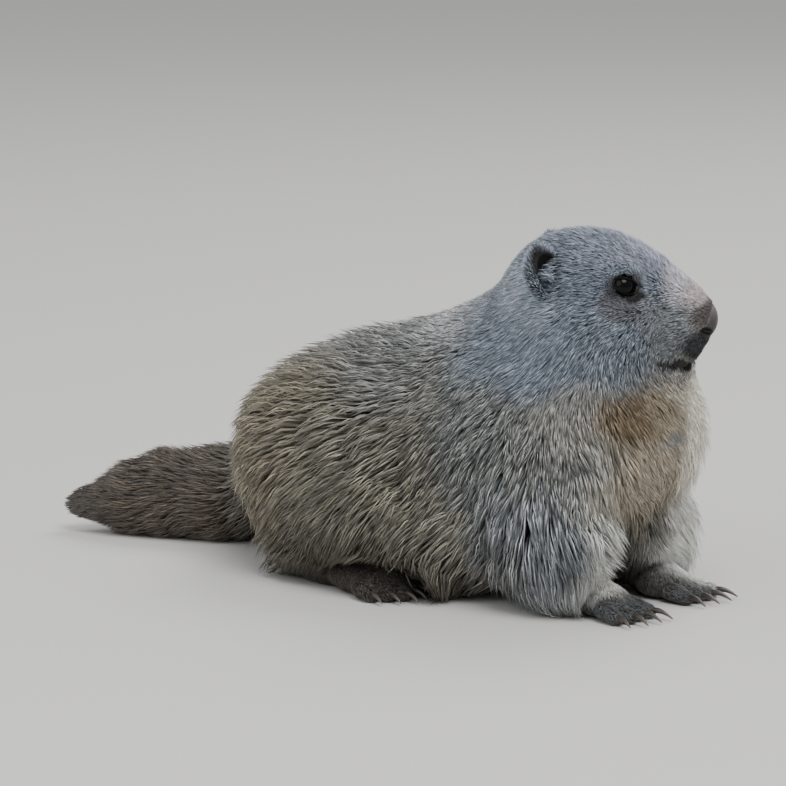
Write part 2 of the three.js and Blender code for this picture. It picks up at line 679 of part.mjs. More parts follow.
// A closed ring of lid round each eye, almond shaped, on a ball a little larger than the eye
function lidRing(side) {
  const points = [];
  for (let n = 0; n < LIDS.steps; n++) {
    const a = (n / LIDS.steps) * 2 * Math.PI;
    const across = LIDS.wide * Math.cos(a) * (1 + LIDS.corner * Math.max(0, Math.cos(a)) ** 5);
    const up = LIDS.tall * Math.sin(a) + LIDS.tilt * Math.cos(a);
    const onBall = unit([Math.cos(across) * Math.cos(up), -side * Math.sin(across), Math.sin(up)]);
    const way = fromAxes(eyeAxes(side), onBall);
    points.push(new THREE.Vector3(...plus(eyePlace(side), times(way, EYE_RADIUS + LIDS.over))));
  }
  const curve = new THREE.CatmullRomCurve3(points, true);
  return solid(new THREE.TubeGeometry(curve, LIDS.steps, LIDS.thick, 4, true));
}
const eyeForm = (side) => ({ at: eyePlace(side), radii: [EYE_RADIUS, EYE_RADIUS, EYE_RADIUS] });

// The ear is an egg with a hollow in its front
function earForms(side) {
  const { yaw, pitch, roll } = EAR.turn;
  const turn = { yaw: side * yaw, pitch, roll: side * roll };
  const at = sided(EAR.at, side);
  const hollow = { at: plus(at, times(axesOf(turn)[0], EAR_HOLLOW.forward)), radii: EAR_HOLLOW.radii, turn };
  return { shell: { at, radii: EAR.radii, turn }, hollow };
}

// A closed tube of few sides along a curve through points
function rod(points, radius, steps) {
  const curve = new THREE.CatmullRomCurve3(points.map((p) => new THREE.Vector3(...p)));
  const section = new THREE.Shape(
    [0, 1, 2, 3, 4].map((n) => {
      const a = (n / 5) * 2 * Math.PI;
      return new THREE.Vector2(radius * Math.cos(a), radius * Math.sin(a));
    }),
  );
  return solid(new THREE.ExtrudeGeometry(section, { steps, extrudePath: curve }));
}

// Moves a point to the surface of the head
function onHead(q) {
  let p = q;
  for (let n = 0; n < 6; n++) {
    const d = headBody(p);
    const slope = [0, 1, 2].map((i) => {
      const up = [...p];
      up[i] += 0.1;
      return (headBody(up) - d) / 0.1;
    });
    p = minus(p, times(slope, d / Math.max(dot(slope, slope), 0.2)));
  }
  return p;
}

const nosePad = eggSolid(NOSE_PAD, 0, EAR_FACES);
let head = part(headWrap, toHeadPlane(HEAD_CUT))[0].subtract(eggSolid(NOSE_PAD, GAP, EAR_FACES));
for (const side of sides) {
  const { shell, hollow } = earForms(side);
  head = head.subtract(eggSolid(shell, GAP, EAR_FACES)).subtract(eggSolid(hollow, 0, EAR_FACES));
  head = head.add(lidRing(side)).subtract(eggSolid(eyeForm(side), GAP + 0.1, EYE_FACES));
  const lip = [sided(LIP_LINE[0], -1), ...LIP_LINE].map((p) => onHead(sided(p, side)));
  head = head.subtract(rod(lip, MOUTH_GROOVE, 10));
}
const cleft = [...CLEFT_LINE, LIP_LINE[0]].map(([x, , z]) => onHead([x, 0, z]));
head = head.subtract(rod(cleft, CLEFT_GROOVE, 4));
add("head", head, "headCoat", headGroup);

const noseWrap = solid(wrap(headBody, evenGrid([28, -16, -40], [62, 16, -4], CELL.nose)));
let nose = noseWrap.intersect(nosePad);
for (const side of sides) {
  const turn = { ...NOSTRIL.turn, yaw: side * NOSTRIL.turn.yaw };
  nose = nose.subtract(eggSolid({ at: sided(NOSTRIL.at, side), radii: NOSTRIL.radii, turn }, 0, [10, 8]));
}
add("nose", nose, "nose", headGroup);

for (const [name, side] of Object.entries(SIDES)) {
  add(`eye_${name}`, eggSolid(eyeForm(side), 0, EYE_FACES), "eye", headGroup);

  const { shell, hollow } = earForms(side);
  const ear = eggSolid(shell, 0, EAR_FACES).subtract(eggSolid(hollow, 0, EAR_FACES));
  add(`ear_${name}`, ear, "ear", headGroup);
}

// Legs, paws and claws
for (const [name, side] of Object.entries(SIDES)) {
  const middle = FORELEG[side].wrist[1];
  addCoated(`foreleg_${name}`, "greyCoat", {
    low: [-132, middle - 66, -14],
    high: [52, middle + 66, 140],
    cell: CELL.limb,
    spacing: 27.5,
    size: 0.8,
    bound: (piece) => part(piece.intersect(armSocket(side)), wristCut(side))[1].intersect(floor),
  });
  addCoated(`hindleg_${name}`, "greyCoat", {
    low: [-268, side * 62 - 58, -14],
    high: [-94, side * 62 + 58, 134],
    cell: CELL.limb,
    spacing: 33.5,
    bound: (piece) => piece.intersect(thighSocket(side)).subtract(pawSeat(side)).intersect(floor),
  });

  const forePlan = forePaw(side);
  const hindPlan = hindPaw(side);
  const feet = [
    ["forepaw", forePlan, part(pawSolid(forePlan), wristCut(side))[0]],
    ["hindpaw", hindPlan, pawSolid(hindPlan)],
  ];
  for (const [foot, plan, whole] of feet) {
    let paw = whole.intersect(floor);
    plan.toes.forEach((toe, n) => {
      paw = paw.subtract(clawSolid(toe, plan.claw, GAP));
      add(`${foot}_${name}_claw_${n + 1}`, clawSolid(toe, plan.claw), "claw");
    });
    add(`${foot}_${name}`, paw, "darkCoat");
  }
}

// The frame's origin is on the ground, in the middle of the animal's outline
const outline = new THREE.Box3().setFromObject(model, true);
const middle = outline.getCenter(new THREE.Vector3());
model.position.set(-middle.x, -middle.y, -outline.min.z);

export default model;
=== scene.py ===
import math

import bmesh
import bpy
import numpy as np
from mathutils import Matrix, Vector
from mathutils.kdtree import KDTree


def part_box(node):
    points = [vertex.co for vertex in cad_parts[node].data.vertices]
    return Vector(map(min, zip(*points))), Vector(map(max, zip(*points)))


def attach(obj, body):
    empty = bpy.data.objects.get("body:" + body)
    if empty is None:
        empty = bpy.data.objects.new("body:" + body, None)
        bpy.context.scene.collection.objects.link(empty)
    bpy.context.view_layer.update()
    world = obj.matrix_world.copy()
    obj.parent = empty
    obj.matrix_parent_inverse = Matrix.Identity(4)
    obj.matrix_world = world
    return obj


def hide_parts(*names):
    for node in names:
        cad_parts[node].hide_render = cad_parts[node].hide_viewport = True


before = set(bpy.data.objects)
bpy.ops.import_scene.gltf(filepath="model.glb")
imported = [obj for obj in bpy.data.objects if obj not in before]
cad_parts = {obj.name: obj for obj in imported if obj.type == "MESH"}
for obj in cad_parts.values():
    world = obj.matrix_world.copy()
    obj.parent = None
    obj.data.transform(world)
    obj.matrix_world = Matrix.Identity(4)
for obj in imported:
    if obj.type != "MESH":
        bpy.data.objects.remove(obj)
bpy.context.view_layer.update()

# Driving dimensions, in millimetres, degrees and pixels. The marmot faces +X, and its left side is +Y.
MM = 0.001
BODY = "root"
HEAD_YAW = 34
HEAD_PLACE = (-23, 5, 174)
EYE_OUT = 22
EYE_LOOK = {"yaw": 62, "pitch": 5}
EYE_RADIUS = 7
COAT_DEPTH = 20
# A thin coat: how deep it is, how far around that holds, and from how far on the coat is full
FACE_COAT = (4, 60, 150)
FORE_COAT = (3, 26, 80)
FOOT_COAT = (3, 18, 66)
TOE_RADIUS = 4.4
CLAW_RADIUS = 2.2
CLAW_LENGTH = {"forepaw": 11, "hindpaw": 10}
PAW_COAT = 0.8
SIDES = {"right": -1, "left": 1}
CAMERA = {"azimuth": 42, "elevation": 9, "lens": 200, "sensor": 36}
PIXELS = 786
PIXELS_PER_MM = 1.9
EYE_PIXEL = (622, 286)

FORELEGS = {
    -1: {
        "shoulder": (-60, -40, 88),
        "elbow": (-42, -42, 52),
        "wrist": (-28, -36, 22),
        "paw": (-3, -31, 0),
        "yaw": -6,
    },
    1: {
        "shoulder": (-62, 38, 88),
        "elbow": (-49, 37, 52),
        "wrist": (-36, 36, 22),
        "paw": (-10, 30, 0),
        "yaw": 8,
    },
}
HIND_PAW = {"at": (-150, 68, 0), "yaw": 8}
TAIL_LINE = [(-262, 0, 38), (-305, -6, 26), (-345, -22, 23), (-386, -48, 16)]
TAIL_RADII = (26, 27, 24, 8)
MOUTH_LINE = [(44, 0, -28), (40, 0, -34), (37, 3, -38.5), (32, 9, -40.5), (25, 15, -41), (17, 20, -42.5)]
MOUTH_RADII = (0.8, 1.0, 1.3, 1.3, 1.0)
MOUTH_LOWEST = -42.5


def axes_of(yaw=0, pitch=0, roll=0):
    """The turned x, y and z axes, as rows. Pitch lifts the front of the x axis, and yaw turns it left."""
    cy, sy, cp, sp, cr, sr = (f(math.radians(a)) for a in (yaw, pitch, roll) for f in (math.cos, math.sin))
    return np.array([
        [cy * cp, sy * cp, sp],
        [-sy * cr - cy * sp * sr, cy * cr - sy * sp * sr, cp * sr],
        [sy * sr - cy * sp * cr, -cy * sr - sy * sp * cr, cp * cr],
    ])


def length_of(v):
    return np.sqrt(np.einsum("...i,...i", v, v))


def unit(v):
    return v / np.maximum(length_of(v), 1e-9)[..., None]


def dot(a, b):
    return np.einsum("...i,...i", a, b)


def mirrored(p):
    """The points with those of the right side moved over to the left one."""
    return p * (1, 0, 1) + np.abs(p) * (0, 1, 0)


def sided(p, side):
    return (p[0], p[1] * side, p[2])


def smooth(low, high, value):
    t = np.clip((value - low) / (high - low), 0, 1)
    return t * t * (3 - 2 * t)


HEAD_AXES = axes_of(HEAD_YAW)


def to_head(p):
    return (p - np.array(HEAD_PLACE)) @ HEAD_AXES.T


def from_head(p):
    return np.asarray(p, float) @ HEAD_AXES + HEAD_PLACE


def eye_place(side):
    return (0, side * EYE_OUT, 0)


def eye_axes(side):
    return axes_of(side * EYE_LOOK["yaw"], EYE_LOOK["pitch"])


# What is added to a place in these millimetres for its place in the frame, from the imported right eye
eye_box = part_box("eye_right")
ORIGIN = np.array((eye_box[0] + eye_box[1]) / 2) / MM - from_head(eye_place(-1))


# Distance fields: each is a function of points, in millimetres, and is negative inside the form
def egg(at, radii, turn=None, grow=0):
    axes, at, radii = axes_of(**(turn or {})), np.array(at, float), np.array(radii, float) + grow

    def field(p):
        q = (p - at) @ axes.T / radii
        near = length_of(q)
        return near * (near - 1) / np.maximum(length_of(q / radii), 1e-6)

    return field


def limb(start, end, radii):
    start, along = np.array(start, float), np.subtract(end, start).astype(float)

    def field(p):
        q = p - start
        t = np.clip(q @ along / (along @ along), 0, 1)
        return length_of(q - t[:, None] * along) - (radii[0] + (radii[1] - radii[0]) * t)

    return field


def soften(a, b, blend):
    """Two forms as one, with a soft seam as wide as the blend."""
    near = np.maximum(blend - np.abs(a - b), 0) / blend
    return np.minimum(a, b) - near * near * blend / 4


def hollow(d, cut, blend):
    """A form with another one cut out of it."""
    return -soften(-d, cut, blend)


def join(blend, *fields):
    """One field of several, each flowing into those before it."""

    def field(p):
        d = fields[0](p)
        for other in fields[1:]:
            d = soften(d, other(p), blend)
        return d

    return field


def where_near(d, near, change):
    """Changes the distances of only the points that are near."""
    if near.any():
        d[near] = change(d[near], near)
    return d


# The forms of the body, close to those of the part's source
torso = join(
    30,
    egg((-43, 1, 98), (57, 57, 60)),
    egg((-92, 0, 97), (62, 62, 60)),
    egg((-132, 0, 73), (76, 69, 70)),
)
haunches = egg((-185, 0, 66), (96, 78, 62))
neck = limb((-66, 0, 122), from_head((-26, 0, -16)), (52, 39))
# The head's forms in its own frame, each with how softly it flows into those before it
HEAD_FORMS = [
    (egg((-21, 0, -5), (36, 31, 29)), 0),
    (egg((-1, 0, -2), (29, 23, 23), {"pitch": -22}), 12),
    (egg((21, 0, -14), (27, 17.5, 21), {"pitch": -28}), 12),
    (egg((43, 0, -20), (6, 8.5, 8)), 6),
    (egg((28, 8.5, -30), (14.6, 10.5, 12.5)), 8),
    (egg((15, 0, -45), (15, 11.5, 9.5)), 8),
    (egg((-18, 16, -25), (30, 24, 28)), 16),
]


def on_look(out, radii):
    """An egg on the left eye's line of sight, at a distance from the middle of the ball."""
    return egg(np.array(eye_place(1)) + eye_axes(1)[0] * out, radii, EYE_LOOK)


orbit = on_look(11.8, (8.2, 13, 10.5))
lid_mound = on_look(-2.6, (7.4, 11, 9.8))
eyeball = egg(eye_place(1), (EYE_RADIUS,) * 3)
EAR = {"at": (-40, 31, 6), "radii": (6.5, 12, 14), "turn": {"yaw": 30, "pitch": 10, "roll": -15}}
ear_hollow = egg(EAR["at"] + axes_of(**EAR["turn"])[0] * 3.6, (6.5, 9.6, 11.6), EAR["turn"])
NOSE_PAD = {"at": (46, 0, -21), "radii": (10.5, 9.2, 9)}
nose_pad = egg(**NOSE_PAD)
nostril = egg((44.6, 9.0, -25.2), (5.2, 3.0, 1.6), {"yaw": -51, "pitch": -18})


HEAD_MIDDLE = (-15, 0, -15)
HEAD_REACH = 110  # how far from its middle the head shapes the body
FACE_REACH = 75  # how far from its origin the head has eyes, ears, nose and mouth


def head_form(m):
    d = HEAD_FORMS[0][0](m)
    for form, blend in HEAD_FORMS[1:]:
        d = soften(d, form(m), blend)
    return d


def headed(d, p):
    """The head flows into the neck, and the eye sockets are hollowed into both."""
    q = to_head(p)
    near = length_of(q - HEAD_MIDDLE) < HEAD_REACH

    def change(d, near):
        m = mirrored(q[near])
        d = soften(d, head_form(m), 16)
        return soften(hollow(d, orbit(m), 6), lid_mound(m), 3)

    return where_near(d, near, change)


def leg_forms(side):
    """The flank, foreleg and thigh of one side, each with how softly it flows into the body."""
    arm = FORELEGS[side]
    flank = egg((-112, side * 38, 36), (60, 36, 37))
    upper = limb(arm["shoulder"], arm["elbow"], (35, 29))
    lower = limb(arm["elbow"], arm["wrist"], (29, 20))
    fringe = egg(np.add(arm["elbow"], (1, side * 3, -12)), (30, 24, 30))
    thigh = egg((-182, side * 52, 60), (62, 34, 50), {"pitch": 25})
    shank = limb((-140, side * 64, 44), (-200, side * 60, 18), (26, 16))
    return [(20, flank), (24, join(14, upper, lower, fringe)), (18, join(20, thigh, shank))]


LEGS = leg_forms(-1) + leg_forms(1)
tail = join(10, *(limb(TAIL_LINE[i], TAIL_LINE[i + 1], TAIL_RADII[i:i + 2]) for i in range(3)))


def outline(p):
    """The surface that the tips of the coat reach, without the paws."""
    d = soften(torso(p), haunches(p), 40)
    d = soften(d, neck(p), 30)
    d = headed(d, p)
    for blend, leg in LEGS:
        d = soften(d, leg(p), blend)
    return soften(d, tail(p), 20)


# Paws: a palm with toes that fan out, each toe with a claw
FORE_TOES = [((5, n * 6.6), n * 9, 15 * (1 - 0.12 * abs(n - 0.3))) for n in (-1.5, -0.5, 0.5, 1.5)]
HIND_TOES = [((24 - 2.2 * abs(n) ** 1.4, n * 6.4), n * 6, 14 * (1 - 0.1 * abs(n))) for n in (-2, -1, 0, 1, 2)]
FORE_PALM = [((-5, 0, 8.6), (16, 13, 9.0))]
HIND_PALM = [((-26, -1, 8.2), (26, 12, 8.6)), ((6, 0, 8.2), (25, 15, 8.6))]


def paw_plan(place, yaw, side, palm, toes):
    """The eggs of a palm, and where each toe starts, ends and points."""
    turn = axes_of(yaw)

    def set_at(p):
        return np.array((p[0], p[1] * side, p[2])) @ turn + place

    plan = []
    for root, angle, reach in toes:
        way = np.array((math.cos(math.radians(angle)), math.sin(math.radians(angle)), 0))
        start = np.array((*root, 0.0))
        end = start + way * reach
        plan.append({
            "start": set_at(start + (0, 0, TOE_RADIUS + 1.6)),
            "end": set_at(end + (0, 0, TOE_RADIUS - 0.4)),
            "way": unit(set_at(end + way) - set_at(end)),
        })
    palms = [egg(set_at(at), radii, {"yaw": yaw}) for at, radii in palm]
    return palms, plan


def plan_paws():
    """The forms and the toes of each paw, by its name."""
    plans = {}
    for name, side in SIDES.items():
        arm = FORELEGS[side]
        palms, toes = paw_plan(arm["paw"], arm["yaw"], side, FORE_PALM, FORE_TOES)
        ankle = limb(arm["wrist"], np.add(arm["paw"], (-4, 0, 9.6)), (15, 9.4))
        plans["forepaw_" + name] = {"forms": [*palms, ankle], "toes": toes}
        place = sided(HIND_PAW["at"], side)
        palms, toes = paw_plan(place, side * HIND_PAW["yaw"], side, HIND_PALM, HIND_TOES)
        plans["hindpaw_" + name] = {"forms": palms, "toes": toes}
    return plans


def paw_field(paw):
    """A paw with its toes, each with a knuckle a third of the way along."""
    forms = list(paw["forms"])
    forms += [limb(toe["start"], toe["end"], (TOE_RADIUS, TOE_RADIUS - 0.6)) for toe in paw["toes"]]
    for toe in paw["toes"]:
        forms.append(egg(toe["end"] * 0.35 + toe["start"] * 0.65 + (0, 0, 0.7), (4.6, 4.2, 4.0)))
    return join(2.5, *forms)


PAWS = plan_paws()
paw_fields = [paw_field(paw) for paw in PAWS.values()]
PAWS_TOP = 45
FAR_AWAY = 60.0  # the distance that stands for far from every paw


def paws(p):
    """The distance to the nearest paw, which is worked out near the floor only."""
    d = np.full(len(p), FAR_AWAY)

    def change(d, near):
        q = p[near]
        for field in paw_fields:
            d = np.minimum(d, field(q))
        return d

    return where_near(d, p[:, 2] < PAWS_TOP, change)


# Where the coat is thinner than elsewhere, on the face, the feet, round the eyes, on the nose and lips, and
# on the tail: a place, how deep it is there, how far around that holds, and from how far on it is full
THIN_COATS = [
    (from_head((-8, 0, -14)), *FACE_COAT),
    *((np.add(arm["paw"], (8, 0, 4)), *FORE_COAT) for arm in FORELEGS.values()),
    *((sided(HIND_PAW["at"], side), *FOOT_COAT) for side in (-1, 1)),
    *((from_head(eye_place(side)), 0.6, 10, 110) for side in (-1, 1)),
    (from_head((45, 0, -22)), 0.35, 10, 150),
    (from_head((31, 0, -39)), 0.8, 13, 130),
    ((-276, 0, 36), 14, 26, 70),
    ((-330, -14, 25), 14, 30, 60),
    ((-382, -45, 17), 5, 8, 56),
]


def coat_depth(p):
    """How far the skin lies under the outline."""
    depths = [
        depth + (COAT_DEPTH - depth) * np.clip((length_of(p - at) - near) / (far - near), 0, 1)
        for at, depth, near, far in THIN_COATS
    ]
    return np.min(depths, axis=0)


def slope(field, p, step=0.3):
    """The field at points, and how it rises along each axis."""
    here = field(p)
    return here, np.stack([(field(p + np.eye(3)[i] * step) - here) / step for i in range(3)], -1)


def step_to_zero(d, rise):
    """The move that, taken from points with the distances d, brings them to where the field is zero."""
    return (d / np.maximum(dot(rise, rise), 0.2))[:, None] * rise


def settle(field, p, level=0.0, steps=3, most=4.0):
    """Moves points to where the field has a level."""
    for _ in range(steps):
        d, rise = slope(field, p)
        move = step_to_zero(d - level, rise)
        p = p - move * np.minimum(1, most / np.maximum(length_of(move), 1e-9))[:, None]
    return p


def flesh(p):
    """The body without its coat and its paws."""
    return outline(p) + coat_depth(p)


# The line of the mouth, on the skin, from under the nose to the corner
mouth_points = from_head(MOUTH_LINE)
mouth_skin = to_head(settle(flesh, mouth_points, steps=6))
mouth_skin[:2, 1] = 0
mouth_skin[:, 2] = np.maximum(mouth_skin[:, 2], MOUTH_LOWEST)
mouth_stretches = zip(mouth_skin[:-1], mouth_skin[1:], MOUTH_RADII)
mouth = join(0.5, *(limb(a, b, (radius, radius - 0.12)) for a, b, radius in mouth_stretches))


def skin(p):
    """The skin under the coat, with the toes, the sockets of the eyes and ears, and the line of the mouth."""
    d = soften(flesh(p), paws(p) + PAW_COAT, 3)
    q = to_head(p)

    def change(d, near):
        h = q[near]
        m = mirrored(h)
        d = hollow(d, nose_pad(h) + 0.8, 0.6)
        d = hollow(d, eyeball(m) - 0.3, 0.6)
        d = hollow(d, mouth(m), 0.8)
        d = hollow(d, nostril(m), 0.8)
        return hollow(d, ear_hollow(m), 2.5)

    return where_near(d, length_of(q) < FACE_REACH, change)


# Meshes
AT_ONCE = 60000  # how many points a field is worked out for at a time


def wrap(field, grid):
    """Points and quads where a field is zero, with one point for each cell of the grid that it crosses."""
    corners = np.stack(np.meshgrid(*grid, indexing="ij"), -1)
    flat = corners.reshape(-1, 3)
    chunks = np.array_split(flat, max(1, len(flat) // AT_ONCE))
    values = np.concatenate([field(chunk) for chunk in chunks]).reshape(corners.shape[:3])
    inside = values < 0
    cells = np.array(values.shape) - 1
    total, count = np.zeros((*cells, 3)), np.zeros(cells)
    for axis in range(3):
        for n in range(4):
            offset = [0, 0, 0]
            offset[(axis + 1) % 3], offset[(axis + 2) % 3] = n & 1, n >> 1
            start = tuple(slice(o, o + c) for o, c in zip(offset, cells))
            offset[axis] = 1
            end = tuple(slice(o, o + c) for o, c in zip(offset, cells))
            cross = inside[start] != inside[end]
            a, b = values[start][cross], values[end][cross]
            share = (a / (a - b))[:, None]
            total[cross] += corners[start][cross] * (1 - share) + corners[end][cross] * share
            count[cross] += 1
    active = count > 0
    index = np.full(cells, -1)
    index[active] = np.arange(active.sum())
    points = total[active] / count[active][:, None]
    low = corners[:-1, :-1, :-1][active]
    high = corners[1:, 1:, 1:][active]
    for _ in range(3):
        d, rise = slope(field, points, 0.1)
        points = np.clip(points - step_to_zero(d, rise), low, high)
    faces = []
    for axis in range(3):
        u, v = (axis + 1) % 3, (axis + 2) % 3
        here = [slice(1, c) for c in cells]
        there = list(here)
        there[axis] = slice(2, cells[axis] + 1)
        here, there = tuple(here), tuple(there)
        cross = inside[here] != inside[there]
        at = np.argwhere(cross) + 1
        solid_here = inside[here][cross]
        ring = []
        for a, b in ((0, 0), (1, 0), (1, 1), (0, 1)):
            cell = at.copy()
            cell[:, u] -= a
            cell[:, v] -= b
            ring.append(index[tuple(cell.T)])
        ring = np.stack(ring, 1)
        ring[~solid_here] = ring[~solid_here][:, ::-1]
        faces.append(ring)
    return points, np.concatenate(faces)


def lines(low, high, coarse, *spans):
    """Grid lines from low to high, with finer cells inside spans of (from, to, cell)."""
    grid = [low]
    while grid[-1] < high:
        cells = [cell for start, end, cell in spans if start <= grid[-1] < end]
        grid.append(grid[-1] + min(cells, default=coarse))
    return np.array(grid)


def set_in_frame(points):
    """Points in millimetres as places in the frame, in metres."""
    return (np.asarray(points) + ORIGIN) * MM


def add_object(name, data):
    made = bpy.data.objects.new(name, data)
    bpy.context.scene.collection.objects.link(made)
    return made


def make_mesh(name, points, faces):
    """A smooth object from points in millimetres and faces that all have as many corners."""
    faces = np.asarray(faces)
    mesh = bpy.data.meshes.new(name)
    mesh.vertices.add(len(points))
    mesh.vertices.foreach_set("co", set_in_frame(points).astype(np.float32).ravel())
    mesh.loops.add(faces.size)
    mesh.loops.foreach_set("vertex_index", faces.astype(np.int32).ravel())
    mesh.polygons.add(len(faces))
    mesh.polygons.foreach_set("loop_start", np.arange(0, faces.size, faces.shape[1], dtype=np.int32))
    mesh.polygons.foreach_set("use_smooth", np.ones(len(faces), bool))
    mesh.update(calc_edges=True)
    return add_object(name, mesh)


def points_of(made):
    """An object's points, in millimetres."""
    points = np.zeros(len(made.data.vertices) * 3, np.float32)
    made.data.vertices.foreach_get("co", points)
    return points.reshape(-1, 3) / MM - ORIGIN


def merge_doubles(made, distance=1e-6):
    mesh = bmesh.new()
    mesh.from_mesh(made.data)
    bmesh.ops.remove_doubles(mesh, verts=mesh.verts, dist=distance)
    bmesh.ops.recalc_face_normals(mesh, faces=mesh.faces)
    mesh.to_mesh(made.data)
    mesh.free()
    return made


def set_attribute(made, name, values, kind="FLOAT"):
    attribute = made.data.attributes.new(name, kind, "POINT")
    key = "vector" if kind == "FLOAT_VECTOR" else "value"
    attribute.data.foreach_set(key, np.asarray(values, np.float32).ravel())


# The skin, as one mesh
SKIN_GRID = (
    lines(-420, 44, 4.6, (-182, -104, 1.7), (-70, -20, 1.3), (-20, 44, 0.9)),
    lines(-100, 100, 4.6, (-88, -8, 1.4), (-8, 46, 0.95), (46, 88, 1.4)),
    lines(-4, 206, 4.6, (-4, 20, 1.5), (124, 160, 0.9), (160, 206, 1.25)),
)


def main_body(points, quads):
    """The quads of the largest body, without the loose scraps of the wrapping."""
    label = np.arange(len(points))
    for _ in range(400):
        lowest = label[quads].min(1)
        new = label.copy()
        np.minimum.at(new, quads.ravel(), np.repeat(lowest, 4))
        new = new[new]
        if (new == label).all():
            break
        label = new
    largest = np.bincount(label).argmax()
    return quads[label[quads[:, 0]] == largest]


def make_skin():
    points, quads = wrap(skin, SKIN_GRID)
    made = make_mesh("skin", points, main_body(points, quads))
    mesh = bmesh.new()
    mesh.from_mesh(made.data)
    bmesh.ops.delete(mesh, geom=[v for v in mesh.verts if not v.link_faces], context="VERTS")
    mesh.to_mesh(made.data)
    mesh.free()
    made.data.update()
    return made


skin_piece = make_skin()


def grid_shell(rows):
    """Faces between rows of points, each row closed round."""
    count, around = rows.shape[:2]
    i, j = np.meshgrid(np.arange(count - 1), np.arange(around), indexing="ij")
    a, b = i * around + j, i * around + (j + 1) % around
    return rows.reshape(-1, 3), np.stack([a, b, b + around, a + around], -1).reshape(-1, 4)


def ball_directions(down, around):
    """Ways out from the middle of a ball, in rows from the front of the x axis to its back."""
    lat = np.linspace(0, math.pi, down)[:, None]
    lon = np.linspace(0, 2 * math.pi, around, endpoint=False)[None]
    return np.stack([np.cos(lat) + 0 * lon, np.sin(lat) * np.cos(lon), np.sin(lat) * np.sin(lon)], -1)


CORNEA = {"rise": 0.05, "spread": 0.6, "ball": 0.985}  # shares of the radius, and radians


def make_eye(name, side):
    """A ball with a cornea that bulges a little round the line of sight."""
    ways = ball_directions(36, 48)
    gaze = np.arccos(np.clip(ways[..., 0], -1, 1))
    bulge = np.exp(-((gaze / CORNEA["spread"]) ** 4))
    radius = EYE_RADIUS * (CORNEA["ball"] + CORNEA["rise"] * bulge)
    rows = from_head(ways * radius[..., None] @ eye_axes(side) + eye_place(side))
    points, quads = grid_shell(rows)
    eye = make_mesh("eye_" + name + "_ball", points, quads)
    set_attribute(eye, "gaze", gaze)
    return merge_doubles(eye)


ALMOND = {"wide": 1.24, "tall": 0.69, "tilt": -0.34, "corner": 0.2}
# A lid from its margin on the eyeball to where it sinks under the coat: the share of the almond,
# the height over the ball, the height over the coat's outline, and how far the second one counts
LID_PROFILE = [
    (0.74, -0.5, 0, 0),
    (0.77, 0.12, 0, 0),
    (0.8, 0.5, 0, 0),
    (0.84, 0.65, 0.1, 0.1),
    (0.9, 0.7, 0.1, 0.4),
    (0.96, 0.75, -0.1, 0.8),
    (1.03, 0.8, -0.4, 1),
    (1.11, 0.9, -0.8, 1),
    (1.2, 0.9, -1.2, 1),
    (1.32, 0.9, -1.7, 1),
    (1.45, 0.9, -2.4, 1),
]
LID_SPREAD = 6  # how far a lid reaches past the almond, in millimetres for each share over 1


def almond(a, share):
    """The angles across and up from the line of sight, round a share of the opening of the lids."""
    across = ALMOND["wide"] * np.cos(a) * (1 + ALMOND["corner"] * np.maximum(0, np.cos(a)) ** 5)
    up = ALMOND["tall"] * np.sin(a) + ALMOND["tilt"] * np.cos(a)
    return across * share, up * share


def make_lids(name, side):
    """A ring of lid from the eyeball out under the coat, with a heavy upper rim and a crease over it."""
    a = np.linspace(0, 2 * math.pi, 96, endpoint=False)
    top = np.maximum(0, np.sin(a + 0.25))
    rows = []
    for share, over_ball, over_coat, counts in LID_PROFILE:
        across, up = almond(a, min(share, 1))
        ways = unit(np.stack([np.cos(across) * np.cos(up), -side * np.sin(across), np.sin(up)], -1))
        heavy = 0.45 * top * smooth(0.76, 0.84, share) * (1 - smooth(0.9, 1.1, share))
        row = ways * (EYE_RADIUS + over_ball + heavy)[:, None]
        row += unit(ways * (0, 1, 1)) * LID_SPREAD * max(0, share - 1)
        row = from_head(row @ eye_axes(side) + eye_place(side))
        fold = 0.35 * top * math.exp(-(((share - 1.08) / 0.05) ** 2))
        crease = fold + 0.08 * np.sin(a * 13) * smooth(0.95, 1.1, share)
        rows.append(row * (1 - counts) + counts * settle(outline, row, over_coat - crease))
    points, quads = grid_shell(np.array(rows))
    if side < 0:
        quads = quads[:, ::-1]
    lids = make_mesh("lids_" + name, points, quads)
    set_attribute(lids, "share", np.repeat([row[0] for row in LID_PROFILE], len(a)))
    set_attribute(lids, "front", np.tile(np.maximum(0, np.cos(a)) ** 6, len(LID_PROFILE)))
    return lids


eyes = {name: make_eye(name, side) for name, side in SIDES.items()}
lids = {name: make_lids(name, side) for name, side in SIDES.items()}


NOSE_MIDDLE = from_head((46, 0, -21.5))
nose_cleft = limb((54, 0, -24), (46, 0, -32), (0.5, 0.8))
nose_wing = egg((45.2, 7.2, -22.2), (4.0, 1.9, 2.6), {"yaw": -51})


def nose_field(p):
    q = to_head(p)
    m = mirrored(q)
    d = np.maximum(outline(p) + 0.3, nose_pad(q))
    d = soften(d, nose_wing(m), 3)
    d = hollow(d, nose_cleft(q), 1.5)
    return hollow(d, nostril(m) - 0.2, 0.8)


def make_nose():
    """The bare leather of the nose, with how high each point is on it and how deep in a nostril, for its
    painted light and shade.
    """
    points, quads = wrap(nose_field, [lines(middle - 13, middle + 13, 0.55) for middle in NOSE_MIDDLE])
    made = make_mesh("nose_leather", points, quads)
    q = to_head(points)
    set_attribute(made, "high", (q[:, 2] - NOSE_PAD["at"][2]) / NOSE_PAD["radii"][2])
    set_attribute(made, "deep", 1 - smooth(0.25, 0.9, nostril(mirrored(q))))
    return made


nose_piece = make_nose()


